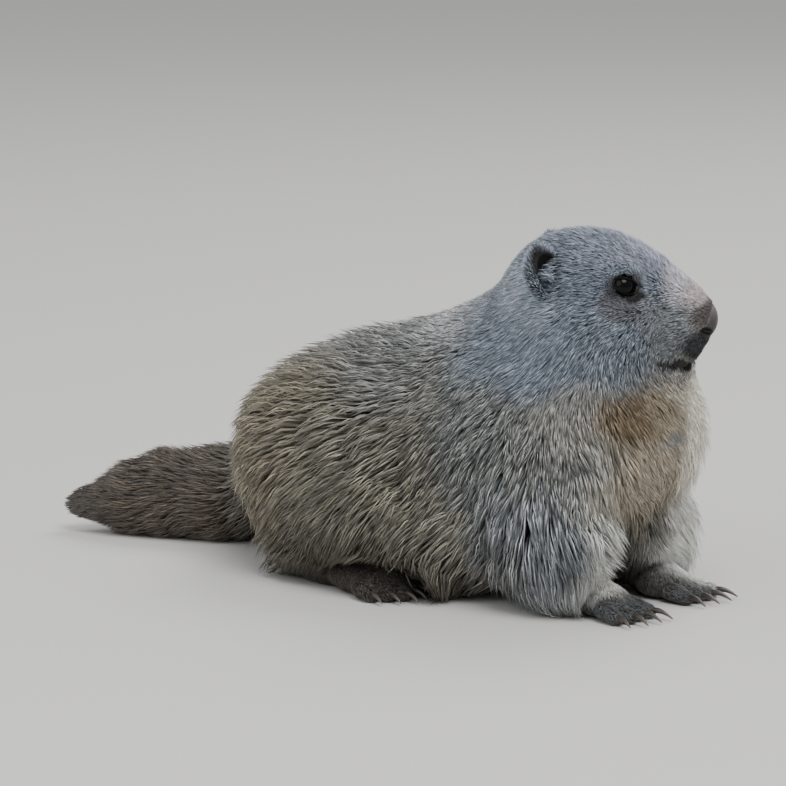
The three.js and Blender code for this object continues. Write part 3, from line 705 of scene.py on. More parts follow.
def make_ear(name, side):
    """An ear as a shell round its hollow."""
    shell = egg(**EAR)

    def field(p):
        q = to_head(p) * (1, side, 1)
        return hollow(shell(q), ear_hollow(q), 1.6)

    centre = from_head(sided(EAR["at"], side))
    points, quads = wrap(field, [lines(c - 17, c + 17, 0.8) for c in centre])
    ear = make_mesh("ear_" + name + "_cup", points, quads)
    # How far inside its hollow each point is, for the painted shade of the ear's material.
    set_attribute(ear, "inside", 1 - smooth(0.1, 1.2, ear_hollow(to_head(points) * (1, side, 1))))
    return ear


ears = {name: make_ear(name, side) for name, side in SIDES.items()}


def claw_rows(toe, length):
    """Rings of points along one claw, which curves down to the ground."""
    forward = toe["way"]
    root = toe["end"] + forward * (TOE_RADIUS - 3.4)
    sideways = np.array((-forward[1], forward[0], 0))
    t = np.linspace(0, 0.985, 12)[:, None]
    drop = (root[2] - 0.9) * (1 - np.cos(t * 1.45)) ** 1.2
    spine = root + forward * t * (length + 3.2) + (0, 0, 1) * (1.1 * np.sin(t * math.pi) - drop)
    radius = CLAW_RADIUS * (1 - t) ** 0.6 + 0.12 * t
    a = np.linspace(0, 2 * math.pi, 14, endpoint=False)
    keel = np.where(np.sin(a) < -0.5, 0.72, 1.0)
    ring = sideways * (0.8 * np.cos(a))[:, None] + np.array((0, 0, 1)) * (np.sin(a) * keel)[:, None]
    return spine[:, None] + ring[None] * radius[:, None]


def make_claws(paw):
    """The claws of one paw, as one piece."""
    kind = paw.split("_")[0]
    points, quads, along = [], [], []
    for toe in PAWS[paw]["toes"]:
        rows = claw_rows(toe, CLAW_LENGTH[kind])
        rows = np.concatenate([rows, np.repeat(rows[-1:].mean(1, keepdims=True), rows.shape[1], 1)])
        p, q = grid_shell(rows)
        quads.append(q[:, ::-1] + sum(map(len, points)))
        points.append(p)
        along.append(np.repeat(np.linspace(0, 1, len(rows)), rows.shape[1]))
    made = make_mesh("claws_" + paw, np.concatenate(points), np.concatenate(quads))
    set_attribute(made, "along", np.concatenate(along))
    return merge_doubles(made)


claws = {paw: make_claws(paw) for paw in PAWS}

# The lie of the coat: a place, the way that the hair points there, and how far around that holds.
# The head's places are in its own frame. The head's and the body's are those of the left side, mirrored for
# the right one. The chest's aren't mirrored, because the turned head draws the throat's hair to the left.
HEAD_LIES = [
    ((46, 0, -12), (-1, 0, 0.3), 9),
    ((30, 0, 4), (-1, 0, 0.3), 16),
    ((30, 14, -16), (-1, 0.15, -0.1), 14),
    ((36, 8, -34), (-0.7, 0.3, -0.7), 9),
    ((22, 16, -32), (-1, 0.1, -0.35), 12),
    ((18, 0, -54), (-1, 0, -0.3), 16),
    ((8, 14, 14), (-1, 0.15, 0.1), 16),
    ((-20, 8, 24), (-1, 0.1, 0), 22),
    ((2, 26, -14), (-1, 0.1, -0.1), 14),
    ((-14, 30, -22), (-1, 0.1, -0.25), 16),
    ((-4, 26, -42), (-0.8, 0.05, -0.65), 16),
    ((-30, 34, -44), (-0.75, 0.1, -0.75), 20),
    ((-34, 34, -10), (-1, 0.1, -0.25), 14),
    ((-50, 26, 6), (-1, 0.1, -0.3), 18),
    ((0, 0, -62), (-0.7, 0, -0.75), 22),
]
BODY_LIES = [
    ((-70, 0, 165), (-1, 0, -0.35), 40),
    ((-60, 50, 130), (-0.6, 0.1, -0.85), 34),
    ((-15, 30, 118), (-0.1, 0.1, -1), 30),
    ((20, 0, 100), (0.3, 0.05, -0.9), 30),
    ((4, 38, 96), (0.6, 0.55, -0.65), 22),
    ((2, 36, 78), (0.6, 0.5, -0.7), 16),
    ((8, 24, 84), (0.3, 0.1, -0.9), 24),
    ((-80, 62, 96), (-0.4, 0.05, -0.95), 34),
    ((-82, 58, 56), (-0.55, 0.05, -0.85), 26),
    ((-48, 66, 60), (-0.15, 0.1, -1), 22),
    ((-14, 54, 56), (0.5, 0.25, -0.85), 22),
    ((-16, 26, 52), (0.4, 0.1, -0.85), 14),
    ((-16, 30, 32), (0, 0.05, -1), 17),
    ((-60, 62, 28), (-0.35, 0.1, -0.95), 22),
    ((-22, 50, 26), (0.3, 0.1, -0.95), 18),
    ((-4, 38, 20), (0.3, 0.05, -0.9), 12),
    ((0, 20, 60), (0.1, -0.1, -1), 24),
    ((-140, 0, 150), (-1, 0, -0.12), 60),
    ((-150, 70, 90), (-0.8, 0.05, -0.7), 46),
    ((-200, 78, 70), (-0.75, 0.05, -0.75), 46),
    ((-140, 84, 34), (-0.35, 0.1, -0.95), 30),
    ((-210, 80, 30), (-0.45, 0.1, -0.9), 34),
    ((-230, 0, 120), (-1, 0, -0.4), 50),
    ((-270, 30, 60), (-0.7, 0, -0.8), 36),
    ((-320, 0, 30), (-1, -0.25, -0.05), 40),
    ((-380, 0, 20), (-0.9, -0.5, -0.1), 30),
    ((-100, 0, 24), (-0.8, 0, -0.3), 50),
    ((-110, 68, 0), (1, 0.05, -0.15), 22),
    ((16, 30, 6), (1, 0, -0.25), 16),
    ((-150, 70, 8), (0.9, 0.05, -0.5), 26),
]
TAIL_FROM = -290
TAIL_LIE = (-1, -0.3, -0.05)
CHEST_LIES = [
    ((12, -4, 104), (0.4, 0.75, -0.7), 24),
    ((6, -10, 80), (0.4, 0.6, -0.8), 22),
    ((-8, -34, 104), (0.3, 0.4, -0.85), 16),
]


def combed(p, lies, paired=True):
    """The mean of the lies, each weighed by how near it is. Paired ones are mirrored for the right side."""
    side = np.sign(p[:, 1])[:, None] if paired else 1
    m = mirrored(p) if paired else p
    total = np.zeros_like(p)
    weights = np.full(len(p), 1e-12)
    for place, way, reach in lies:
        weight = np.exp(-dot(m - place, m - np.array(place)) / reach ** 2)
        total += weight[:, None] * unit(np.array(way, float)) * np.where((0, 1, 0), side, 1)
        weights += weight
    return total / weights[:, None], weights


def round_eye(q, way):
    """Turns the hair that would lie over an eye so that it flows round it."""
    side = np.where(q[:, 1] < 0, -1, 1)[:, None] * (0, 1, 0) + (1, 0, 1)
    away, turned = mirrored(q) - eye_place(1), way * side
    toward = -unit(away)
    near = smooth(15, 9, length_of(away))[:, None]
    turned = turned - toward * (np.maximum(0, dot(turned, toward))[:, None] * near)
    past = np.cross(eye_axes(1)[0], toward)
    turned = turned + past * np.where(dot(turned, past) < 0, -0.35, 0.35)[:, None] * near
    return turned * side


def lie_of(p):
    """The way that the hair points at each point."""
    q = to_head(p)
    head_way, head_weight = combed(q, HEAD_LIES)
    head_way = round_eye(q, head_way)
    body_way, body_weight = combed(p, BODY_LIES)
    chest_way, chest_weight = combed(p, CHEST_LIES, paired=False)
    chest = (chest_weight / (chest_weight + 0.4 * body_weight))[:, None]
    body_way, body_weight = body_way * (1 - chest) + chest_way * chest, body_weight + chest_weight
    body_way[p[:, 0] < TAIL_FROM] = TAIL_LIE
    share = (head_weight / (head_weight + body_weight))[:, None]
    return unit(head_way @ HEAD_AXES * share + body_way * (1 - share) + (-1e-4, 0, -1e-4))


# One seeded stream of random numbers, drawn from in the order of the script
draw = np.random.default_rng(7)


def skin_triangles():
    mesh = skin_piece.data
    mesh.calc_loop_triangles()
    corners = np.zeros(len(mesh.loop_triangles) * 3, np.int32)
    mesh.loop_triangles.foreach_get("vertices", corners)
    return points_of(skin_piece)[corners.reshape(-1, 3)]


def full_depth(p):
    """How deep the coat is over points of the skin, up to the outline and the paws."""
    return np.clip(-np.minimum(outline(p), paws(p)), 0.6, COAT_DEPTH + 2)


def spacing_of(depth):
    """How far apart the tufts grow, by the depth of the coat."""
    return 0.52 + 0.072 * depth


CELLS = 10000  # more than a grid has along any axis
LEVELS = 64  # more than there are sizes of cells


def first_in_cells(p, wide, step, scale=1.0):
    """Which points are the first in their cell, in cells about as wide as each point asks for."""
    level = np.round(np.log(wide) / math.log(step))
    key = np.floor(p / (step ** level * scale)[:, None]).astype(np.int64) + CELLS // 2
    code = ((key[:, 0] * CELLS + key[:, 1]) * CELLS + key[:, 2]) * LEVELS + (level + 20).astype(np.int64)
    return np.unique(code, return_index=True)[1]


TRIES = 3.0  # how many roots are tried for each that has room


def scatter(triangles):
    """Roots spread evenly over triangles, closer where the coat is thin."""
    a, b, c = triangles[:, 0], triangles[:, 1], triangles[:, 2]
    area = length_of(np.cross(b - a, c - a)) / 2
    middle = triangles.mean(1)
    apart = spacing_of(full_depth(middle)) * (1 + 0.2 * smooth(-120, -190, middle[:, 0]))
    apart *= 1 - 0.42 * smooth(-280, -300, middle[:, 0])
    share = np.cumsum(area / apart ** 2 * TRIES)
    pick = np.searchsorted(share, draw.random(int(share[-1])) * share[-1])
    s, t = draw.random(len(pick)), draw.random(len(pick))
    flip = s + t > 1
    s[flip], t[flip] = 1 - s[flip], 1 - t[flip]
    p = a[pick] + (b - a)[pick] * s[:, None] + (c - a)[pick] * t[:, None]
    return p[first_in_cells(p, apart[pick], 1.2, 1.08)]


EYE_FRONT_REACH = 9.2  # the fur in front of the eye lies further from the ball's middle than this
SOLE = 1.2  # skin that is lower than this is a sole


def over_eye(m, share, reach):
    """Which points, given in the head's frame and on its left side, are over the almond of the eye."""
    e = (m - eye_place(1)) @ eye_axes(1).T
    across = np.arctan2(-e[:, 1], e[:, 0])
    up = np.arctan2(e[:, 2], np.maximum(length_of(e[:, :2]), 1e-6))
    up = up - ALMOND["tilt"] * across / ALMOND["wide"]
    near = length_of(e) < np.where(across > 0.35, min(reach, EYE_FRONT_REACH), reach)
    return (np.hypot(across / ALMOND["wide"], up / ALMOND["tall"]) < share) & near & (e[:, 0] > 0)


def bare(p):
    """Where no hair grows: the eyes, the nose, the mouth, the cups of the ears and the soles."""
    m = mirrored(to_head(p))
    by_nose = nose_pad(m) < 0.1
    by_mouth = (mouth(m) < 0.6) | (nostril(m) < 0.4)
    in_ear = ear_hollow(m) < -0.3
    return over_eye(m, 0.9, 9.5) | by_nose | by_mouth | in_ear | (p[:, 2] < SOLE)


roots = scatter(skin_triangles())
roots = roots[~bare(roots)]


def swirl(p, size, seed):
    """A smooth, seeded wave over space, from -1 to 1."""
    waves = np.random.default_rng(seed).normal(size=(5, 3)) / size
    phase = np.random.default_rng(seed + 1).random(5) * 6.3
    return sum(np.sin(p @ w * 2 + f) for w, f in zip(waves, phase)) / 3.2


# Where the coat hangs longer and stands higher than elsewhere: a place, mirrored to the right, how much
# longer, how many millimetres higher, and how far around that holds
BODY_SHAGGY = [
    ((-24, 42, 26), 1.1, 1.0, 22),
    ((-64, 62, 24), 0.5, 1.0, 30),
    ((-110, 72, 24), 0.4, 1.0, 40),
    ((2, 38, 96), 0.8, 7.0, 22),
    ((2, 36, 78), 0.8, 6.0, 16),
    ((-36, 66, 72), 0.4, 4.0, 16),
    ((-16, 28, 30), -0.35, -4.0, 14),
    ((-12, 50, 50), 0.3, 3.0, 24),
    ((-70, 0, 176), 0.2, 2.0, 26),
]
HEAD_SHAGGY = [
    ((14, 14, -58), 0.5, 5.0, 15),
    ((-8, 30, -48), 0.5, 1.5, 15),
    ((-36, 36, -48), 0.4, 1.5, 20),
]


def shaggy(p):
    """How many times as long, and how much higher, the coat is at each point."""
    longer, higher = np.ones(len(p)), np.zeros(len(p))
    for m, rows in ((mirrored(p), BODY_SHAGGY), (mirrored(to_head(p)), HEAD_SHAGGY)):
        for at, more, rise, far in rows:
            near = np.exp(-dot(m - at, m - np.array(at)) / far ** 2)
            longer += near * more
            higher += near * rise
    return longer, higher


# How a tuft grows: its reach along the skin is a least one and more for each millimetre of the coat's depth,
# its height is the depth and a little more, and both vary. Where the coat is shaggy, the rise varies too.
REACH = {"least": 2.6, "more": 1.45, "vary": (0.72, 1.25)}
HEIGHT = {"least": 0.2, "vary": (0.85, 1.25), "vary_rise": (0.3, 1.6)}
LIE_OVER = 1.7  # the larger this is, the nearer to its root a tuft gets its height
BRUSH = {"from": -366, "to": -380, "shorter": 0.6, "higher": 5}  # the tuft that ends the tail
LOWEST_TIP = 0.4  # over the floor


def risen(height, t):
    """The height that a tuft has at a share of its length."""
    return height * (1 - (1 - t) ** LIE_OVER)


def grow(p, rings, sink=0.5):
    """The path of each tuft from its root to its tip, which way is up along it, and how deep the coat is."""
    depth = full_depth(p)
    _, rise = slope(skin, p)
    up = unit(rise)
    way = lie_of(p)
    longer, higher = shaggy(p)
    reach = (REACH["least"] + REACH["more"] * depth) * draw.uniform(*REACH["vary"], len(p)) * longer
    height = depth * draw.uniform(*HEIGHT["vary"], len(p)) + HEIGHT["least"]
    height = height + higher * draw.uniform(*HEIGHT["vary_rise"], len(p))
    brush = smooth(BRUSH["from"], BRUSH["to"], p[:, 0]) * np.clip(dot(way, up), 0, 1)
    reach, height = reach * (1 - BRUSH["shorter"] * brush), height + BRUSH["higher"] * brush
    turn = 0.22 * swirl(p, 16, 3) + 0.16 * swirl(p, 6, 5) + draw.normal(0, 0.1, len(p))
    path, tops, level = [p - up * sink], [up], np.zeros(len(p))
    for k in range(rings):
        last, level = level, risen(height, (k + 1) / rings)
        ahead = unit(way - up * dot(way, up)[:, None])
        side = np.cross(up, ahead)
        ahead = unit(ahead * np.cos(turn)[:, None] + side * np.sin(turn)[:, None])
        step = np.sqrt(np.maximum((reach / rings) ** 2 - (level - last) ** 2, (0.5 * reach / rings) ** 2))
        here = path[-1] + ahead * step[:, None] + up * (level - last)[:, None]
        d, rise = slope(skin, here)
        up = unit(rise)
        lift = np.clip(level - d, -0.55 * level, 3 + level)
        free = np.where(lift < 0, 0.55, 1.0)
        here = here + up * (lift * free)[:, None]
        here[:, 2] = np.maximum(here[:, 2], LOWEST_TIP)
        path.append(here)
        tops.append(up)
        way = unit(lie_of(here) * 0.6 + way * 0.4)
    return np.stack(path, 1), np.stack(tops, 1), depth


def gather(p, path, spread, pull):
    """Draws the tips of neighbouring tufts together, so that they part in clumps."""
    leaders = first_in_cells(p, np.maximum(spread, 0.5), 1.3)
    tree = KDTree(len(leaders))
    for i, leader in enumerate(leaders):
        tree.insert(p[leader], i)
    tree.balance()
    lead = leaders[[tree.find(q)[1] for q in p]]
    t = np.linspace(0, 1, path.shape[1])[None, :, None]
    offset = path[lead] - path
    near = np.minimum(1, 1.6 * spread / np.maximum(length_of(offset[:, 0]), 1e-6))[:, None, None]
    return path + offset * pull[:, None, None] * t ** 1.3 * near


def tuft_mesh(path, tops, width, thick):
    """Tapered three-sided tufts along paths, each closed at its tip and sunk in the skin at its root.

    Returns the points and faces, how far along and across its tuft each point is, and how many a tuft has.
    """
    count, stations = path.shape[:2]
    rings = stations - 1
    ahead = unit(np.diff(path, axis=1))
    ahead = np.concatenate([ahead, ahead[:, -1:]], 1)
    up = unit(tops - ahead * dot(tops, ahead)[..., None])
    across = np.cross(up, ahead)
    t = np.linspace(0, 1, stations)[:rings]
    profile = (0.75 + 0.9 * t - 1.25 * t * t)[None, :, None] * width[:, None, None]
    flat = (1 - 0.6 * t)[None, :, None] * thick[:, None, None]
    ring = np.stack([
        path[:, :rings] + up[:, :rings] * flat,
        path[:, :rings] + across[:, :rings] * profile / 2 - up[:, :rings] * flat * 0.4,
        path[:, :rings] - across[:, :rings] * profile / 2 - up[:, :rings] * flat * 0.4,
    ], 2).reshape(count, rings * 3, 3)
    points = np.concatenate([ring, path[:, -1:]], 1)
    faces = []
    for r in range(rings - 1):
        for c in range(3):
            a, b = r * 3 + c, r * 3 + (c + 1) % 3
            faces += [(a, a + 3, b), (b, a + 3, b + 3)]
    tip = rings * 3
    last = (rings - 1) * 3
    faces += [(last + c, tip, last + (c + 1) % 3) for c in range(3)]
    faces = np.array(faces)
    each = points.shape[1]
    whole = (faces[None] + (np.arange(count) * each)[:, None, None]).reshape(-1, 3)
    along = np.append(np.repeat(t, 3), 1.0)
    edge = np.append(np.tile((0.5, 1.0, 0.0), rings), 0.5)
    return points.reshape(-1, 3), whole, np.tile(along, count), np.tile(edge, count), each


def unwrap_places(p, axis, centre):
    """Places on an unwrap of the skin's shape: the angle round its long axis, and the evened way along it."""
    side = unit(np.cross(axis, (0.1, 0.2, 1)))
    other = np.cross(axis, side)
    q = p - centre
    u = np.arctan2(q @ side, q @ other) / (2 * math.pi) + 0.5
    order = np.argsort(np.argsort(q @ axis))
    return np.stack([u, (order + 0.5) / len(p)], 1)


PATCH = 0.003  # how large a tuft's patch is on the map


def set_bake_map(made, places, along, edge, each):
    """A map to bake on, named OFBake, where each tuft is a small patch at its root's place."""
    mesh = made.data
    spot = np.repeat(places, each, 0) * (1 - PATCH) + np.stack([edge, along], 1) * PATCH
    corners = np.zeros(len(mesh.loops), np.int32)
    mesh.loops.foreach_get("vertex_index", corners)
    layer = mesh.uv_layers.new(name="OFBake")
    layer.uv.foreach_set("vector", spot[corners].astype(np.float32).ravel())


# Where the parts of the coat meet
UP_NECK = unit(np.array((0.5, 0.1, 0.85)))
HEAD_FROM = (-52, -2, 138)
NECK_FROM = (-66, 0, 112)
NECK_BACK = -140
LEGS_MEET = -92
RUMP = -282
FORELEG_COAT = {"top": 70, "inner": 8}
HINDLEG_COAT = {"top": 60, "inner": 40}


def region_of(p):
    """Which part of the body each root is on."""
    x, z, out = p[:, 0], p[:, 2], np.abs(p[:, 1])
    head = dot(p - HEAD_FROM, UP_NECK) > 0
    necks = (dot(p - NECK_FROM, UP_NECK) > 0) & (x > NECK_BACK)
    tails = x < RUMP
    fore = (z < FORELEG_COAT["top"]) & (x > LEGS_MEET) & (out > FORELEG_COAT["inner"])
    hind = (z < HINDLEG_COAT["top"]) & (x < LEGS_MEET) & (x > RUMP) & (out > HINDLEG_COAT["inner"])
    names = np.full(len(p), "torso", dtype="U16")
    names[hind & (p[:, 1] < 0)] = "hindleg_right"
    names[hind & (p[:, 1] > 0)] = "hindleg_left"
    names[necks] = "neck"
    names[fore & (p[:, 1] < 0) & ~head] = "foreleg_right"
    names[fore & (p[:, 1] > 0) & ~head] = "foreleg_left"
    names[tails] = "tail"
    names[head] = "head"
    return names


SHORT = 6.5  # tufts on a coat that is less deep than this have two rings, and the others three
MOST_TRIANGLES = 190000  # in a piece of the coat
coat_pieces = []


def make_coat(name, p, path, tops, width, chance):
    """Tufts along paths, with what their material reads: the root's place, along, across and chance."""
    points, faces, along, edge, each = tuft_mesh(path, tops, width, width * 0.3)
    points[:, 2] = np.maximum(points[:, 2], 0.3)
    made = make_mesh(name, points, faces)
    set_attribute(made, "place", np.repeat(set_in_frame(p), each, 0), "FLOAT_VECTOR")
    set_attribute(made, "along", along)
    set_attribute(made, "across", edge)
    set_attribute(made, "chance", np.repeat(chance, each))
    spread = np.cov((p - p.mean(0)).T)
    axis = np.linalg.eigh(spread)[1][:, -1]
    set_bake_map(made, unwrap_places(p, axis, p.mean(0)), along, edge, each)
    coat_pieces.append(made)


GUARD_SHARE = 0.5
GUARD_FROM = 0.5  # a guard hair's chance is above this, and that of underfur is below it
PARTS_OF_STEP = (0.25, 0.5, 0.75)


def shorten_over(path, rounds=6):
    """Draws back the tufts that would reach over an eye, the mouth or a nostril."""
    for _ in range(rounds):
        between = [path[:, :-1] * (1 - t) + path[:, 1:] * t for t in PARTS_OF_STEP]
        spots = np.concatenate([path[:, 1:], *between], 1)
        m = mirrored(to_head(spots.reshape(-1, 3)))
        over = over_eye(m, 0.88, 14) | (mouth(m) < 0.3) | (nostril(m) < 0.1)
        over = over.reshape(spots.shape[:2]).any(1)
        path[over] = path[over, :1] + (path[over] - path[over, :1]) * 0.6


def grow_coat(p, name, rings):
    """Broad, dark tufts of underfur with thin, pale-tipped guard hairs between them."""
    path, tops, depth = grow(p, rings)
    apart = spacing_of(depth)
    shag = smooth(3.5, 9, depth) * (1 - 0.8 * smooth(-80, -130, p[:, 0]))
    path = gather(p, path, apart * (2.4 + 1.8 * shag), draw.uniform(0.2, 0.4 + 0.35 * shag, len(p)))
    shorten_over(path)
    guard = draw.random(len(p)) < GUARD_SHARE
    width = apart * np.where(guard, draw.uniform(0.45, 0.8, len(p)), draw.uniform(0.9, 1.5, len(p)))
    chance = np.where(guard, draw.uniform(GUARD_FROM, 1, len(p)), draw.uniform(0, GUARD_FROM, len(p)))
    lifted = np.linspace(0, 0.5, path.shape[1]) * np.sqrt(apart[guard])[:, None]
    path[guard] += tops[guard] * lifted[..., None]
    make_coat(name, p, path, tops, width, chance)


def grow_coats():
    """The coat of each part of the body, in a piece of short tufts and one or more of long ones."""
    regions, depths = region_of(roots), full_depth(roots)
    for region in sorted(set(regions)):
        for kind, rings in (("short", 2), ("long", 3)):
            p = roots[(regions == region) & ((depths < SHORT) == (kind == "short"))]
            if not len(p):
                continue
            p = p[np.argsort(p[:, 0])]
            triangles = len(p) * (6 * rings - 3)
            chunks = np.array_split(p, math.ceil(triangles / MOST_TRIANGLES))
            for n, chunk in enumerate(chunks):
                name = f"coat_{region}_{kind}" + (f"_{n + 1}" if len(chunks) > 1 else "")
                grow_coat(chunk, name, rings)


grow_coats()


# The ears' backs and rims are furred with short tufts that point to the rim and past it
EAR_TUFTS = 2400


def grow_ear_coat(name, side):
    q = to_head(points_of(ears[name])) * (1, side, 1)
    q = q[(ear_hollow(q) > 0.1) & (skin(from_head(q * (1, side, 1))) > -0.6)]
    q = q[draw.permutation(len(q))[:EAR_TUFTS]] + draw.normal(0, 0.15, (min(EAR_TUFTS, len(q)), 3))
    base = np.array(EAR["at"]) + (-2, -10, -14)
    _, up = slope(egg(**EAR), q)
    up = unit(up)
    way = unit(unit(q - base) + (-0.35, 0, 0.1) + draw.normal(0, 0.22, q.shape))
    long = draw.uniform(2.4, 4.8, len(q))[:, None]
    path = np.stack([q - up * 0.4, q + way * long * 0.5 + up * 0.5, q + way * long + up * 0.7], 1)
    path = from_head(path * (1, side, 1))
    tops = np.repeat((up * (1, side, 1) @ HEAD_AXES)[:, None], 3, 1)
    width = draw.uniform(0.25, 0.55, len(q))
    make_coat("coat_ear_" + name, path[:, 0], path, tops, width, draw.random(len(q)))


for name, side in SIDES.items():
    grow_ear_coat(name, side)


# Whiskers, in rows on the pad beside the nose
WHISKER_LENGTH = (20, 36)
WHISKER_RADIUS = 0.14
WHISKER_ROOTS = [(x, 15, z) for z, xs in ((-20, (30, 25)), (-25, (32, 27, 22)), (-30, (30, 25))) for x in xs]


def whisker_paths(stations=10):
    """Whiskers that curve out, back and down from the muzzle, as points and the edges between them."""
    points, edges, thin = [], [], []
    t = np.linspace(0, 1, stations)[:, None]
    for side in (-1, 1):
        for root in WHISKER_ROOTS:
            start = to_head(settle(skin, from_head([sided(root, side)]), steps=6))[0]
            way = unit(np.array((-0.1, side, -0.15)) + draw.normal(0, 0.12, 3))
            bend = unit(np.array((-1, 0.1 * side, -0.45)) + draw.normal(0, 0.1, 3))
            length = draw.uniform(*WHISKER_LENGTH)
            first = len(points) * stations
            points.append(from_head(start + length * (way * (t - 0.3 * t * t) + bend * 0.62 * t * t)))
            edges += [(first + n, first + n + 1) for n in range(stations - 1)]
            thin.append(1 - 0.85 * t[:, 0])
    return np.concatenate(points), edges, np.concatenate(thin)


WHISKER_SIDES = 5


def whisker_tree():
    """A tree that makes a round, tapered bristle along each line of edges."""
    group = bpy.data.node_groups.new("whiskers", "GeometryNodeTree")
    for title, kind in (("Geometry", "Geometry"), ("Radius", "Float"), ("Material", "Material")):
        group.interface.new_socket(title, in_out="INPUT", socket_type="NodeSocket" + kind)
    group.interface.new_socket("Geometry", in_out="OUTPUT", socket_type="NodeSocketGeometry")
    tree = Tree(group)
    given, out = tree.add("NodeGroupInput"), tree.add("NodeGroupOutput")
    line = tree.add("GeometryNodeMeshToCurve", None, Mesh=given.outputs["Geometry"])
    thin = tree.add("GeometryNodeInputNamedAttribute", {"data_type": "FLOAT"}, Name="thin")
    sized = tree.add("GeometryNodeSetCurveRadius", None, Curve=line.outputs[0], Radius=thin.outputs[0])
    feeds = {"Resolution": WHISKER_SIDES, "Radius": given.outputs["Radius"]}
    ring = tree.add("GeometryNodeCurvePrimitiveCircle", None, **feeds)
    tube = tree.add("GeometryNodeCurveToMesh", None, Curve=sized.outputs[0], Fill_Caps=True)
    tree.link(ring.outputs[0], tube.inputs["Profile Curve"])
    if "Scale" in tube.inputs:
        tree.link(thin.outputs[0], tube.inputs["Scale"])
    real = tree.add("GeometryNodeRealizeInstances", None, Geometry=tube.outputs[0])
    feeds = {"Geometry": real.outputs[0], "Material": given.outputs["Material"]}
    dressed = tree.add("GeometryNodeSetMaterial", None, **feeds)
    tree.link(dressed.outputs[0], out.inputs["Geometry"])
    return group


def make_whiskers(material):
    points, edges, thin = whisker_paths()
    mesh = bpy.data.meshes.new("whisker_lines")
    mesh.from_pydata(set_in_frame(points).tolist(), edges, [])
    bare_lines = add_object("whisker_lines", mesh)
    set_attribute(bare_lines, "thin", thin)
    group = whisker_tree()
    modifier = bare_lines.modifiers.new("whiskers", "NODES")
    modifier.node_group = group
    keys = {item.name: item.identifier for item in group.interface.items_tree if item.in_out == "INPUT"}
    modifier[keys["Radius"]] = WHISKER_RADIUS * MM
    modifier[keys["Material"]] = material
    graph = bpy.context.evaluated_depsgraph_get()
    made = bpy.data.meshes.new_from_object(bare_lines.evaluated_get(graph))
    bare_lines.modifiers.clear()
    bpy.data.objects.remove(bare_lines)
    return add_object("whiskers", made)


# Materials
def colour(code):
    """A colour as the screen shows it, as the linear values that a shader takes."""
    parts = [int(code[i:i + 2], 16) / 255 for i in (0, 2, 4)]
    return (*(v / 12.92 if v <= 0.04045 else ((v + 0.055) / 1.055) ** 2.4 for v in parts), 1)


class Tree:
    """Adds nodes to a tree and links what feeds them, by a socket's name or by i and its number."""

    def __init__(self, tree):
        self.tree = tree

    def add(self, kind, settings=None, **feeds):
        node = self.tree.nodes.new(kind)
        for key, value in (settings or {}).items():
            setattr(node, key, value)
        for key, value in feeds.items():
            by_number = key[0] == "i" and key[1:].isdigit()
            socket = node.inputs[int(key[1:]) if by_number else key.replace("_", " ")]
            if isinstance(value, bpy.types.NodeSocket):
                self.link(value, socket)
            else:
                socket.default_value = value
        return node

    def link(self, value, socket):
        self.tree.links.new(value, socket)

    def maths(self, operation, *values, clamp=False):
        feeds = {f"i{n}": value for n, value in enumerate(values)}
        return self.add("ShaderNodeMath", {"operation": operation, "use_clamp": clamp}, **feeds).outputs[0]

    def vector(self, operation, *values):
        feeds = {f"i{n}": value for n, value in enumerate(values)}
        node = self.add("ShaderNodeVectorMath", {"operation": operation}, **feeds)
        return node.outputs["Value" if operation in ("LENGTH", "DISTANCE", "DOT_PRODUCT") else "Vector"]

    def combine(self, x, y, z):
        return self.add("ShaderNodeCombineXYZ", None, X=x, Y=y, Z=z).outputs[0]

    def mix(self, share, a, b, blend="MIX"):
        settings = {"data_type": "RGBA", "blend_type": blend}
        return self.add("ShaderNodeMix", settings, i0=share, i6=a, i7=b).outputs[2]

    def ramp(self, value, low, high, start=0.0, end=1.0):
        feeds = {"i0": value, "i1": low, "i2": high, "i3": start, "i4": end}
        return self.add("ShaderNodeMapRange", {"interpolation_type": "SMOOTHSTEP"}, **feeds).outputs[0]

    def noise(self, vector, scale, detail=3.0, rough=0.5):
        feeds = {"Vector": vector, "Scale": scale, "Detail": detail, "Roughness": rough}
        return self.add("ShaderNodeTexNoise", None, **feeds)

    def place(self):
        return self.add("ShaderNodeTexCoord").outputs["Object"]

    def attribute(self, name, output):
        return self.add("ShaderNodeAttribute", {"attribute_name": name}).outputs[output]


def shader_group(name, inputs, outputs):
    group = bpy.data.node_groups.new(name, "ShaderNodeTree")
    for title, kind, value in inputs:
        socket = group.interface.new_socket(title, in_out="INPUT", socket_type=kind)
        if value is not None:
            socket.default_value = value
    for title, kind in outputs:
        group.interface.new_socket(title, in_out="OUTPUT", socket_type=kind)
    tree = Tree(group)
    return group, tree, tree.add("NodeGroupInput"), tree.add("NodeGroupOutput")
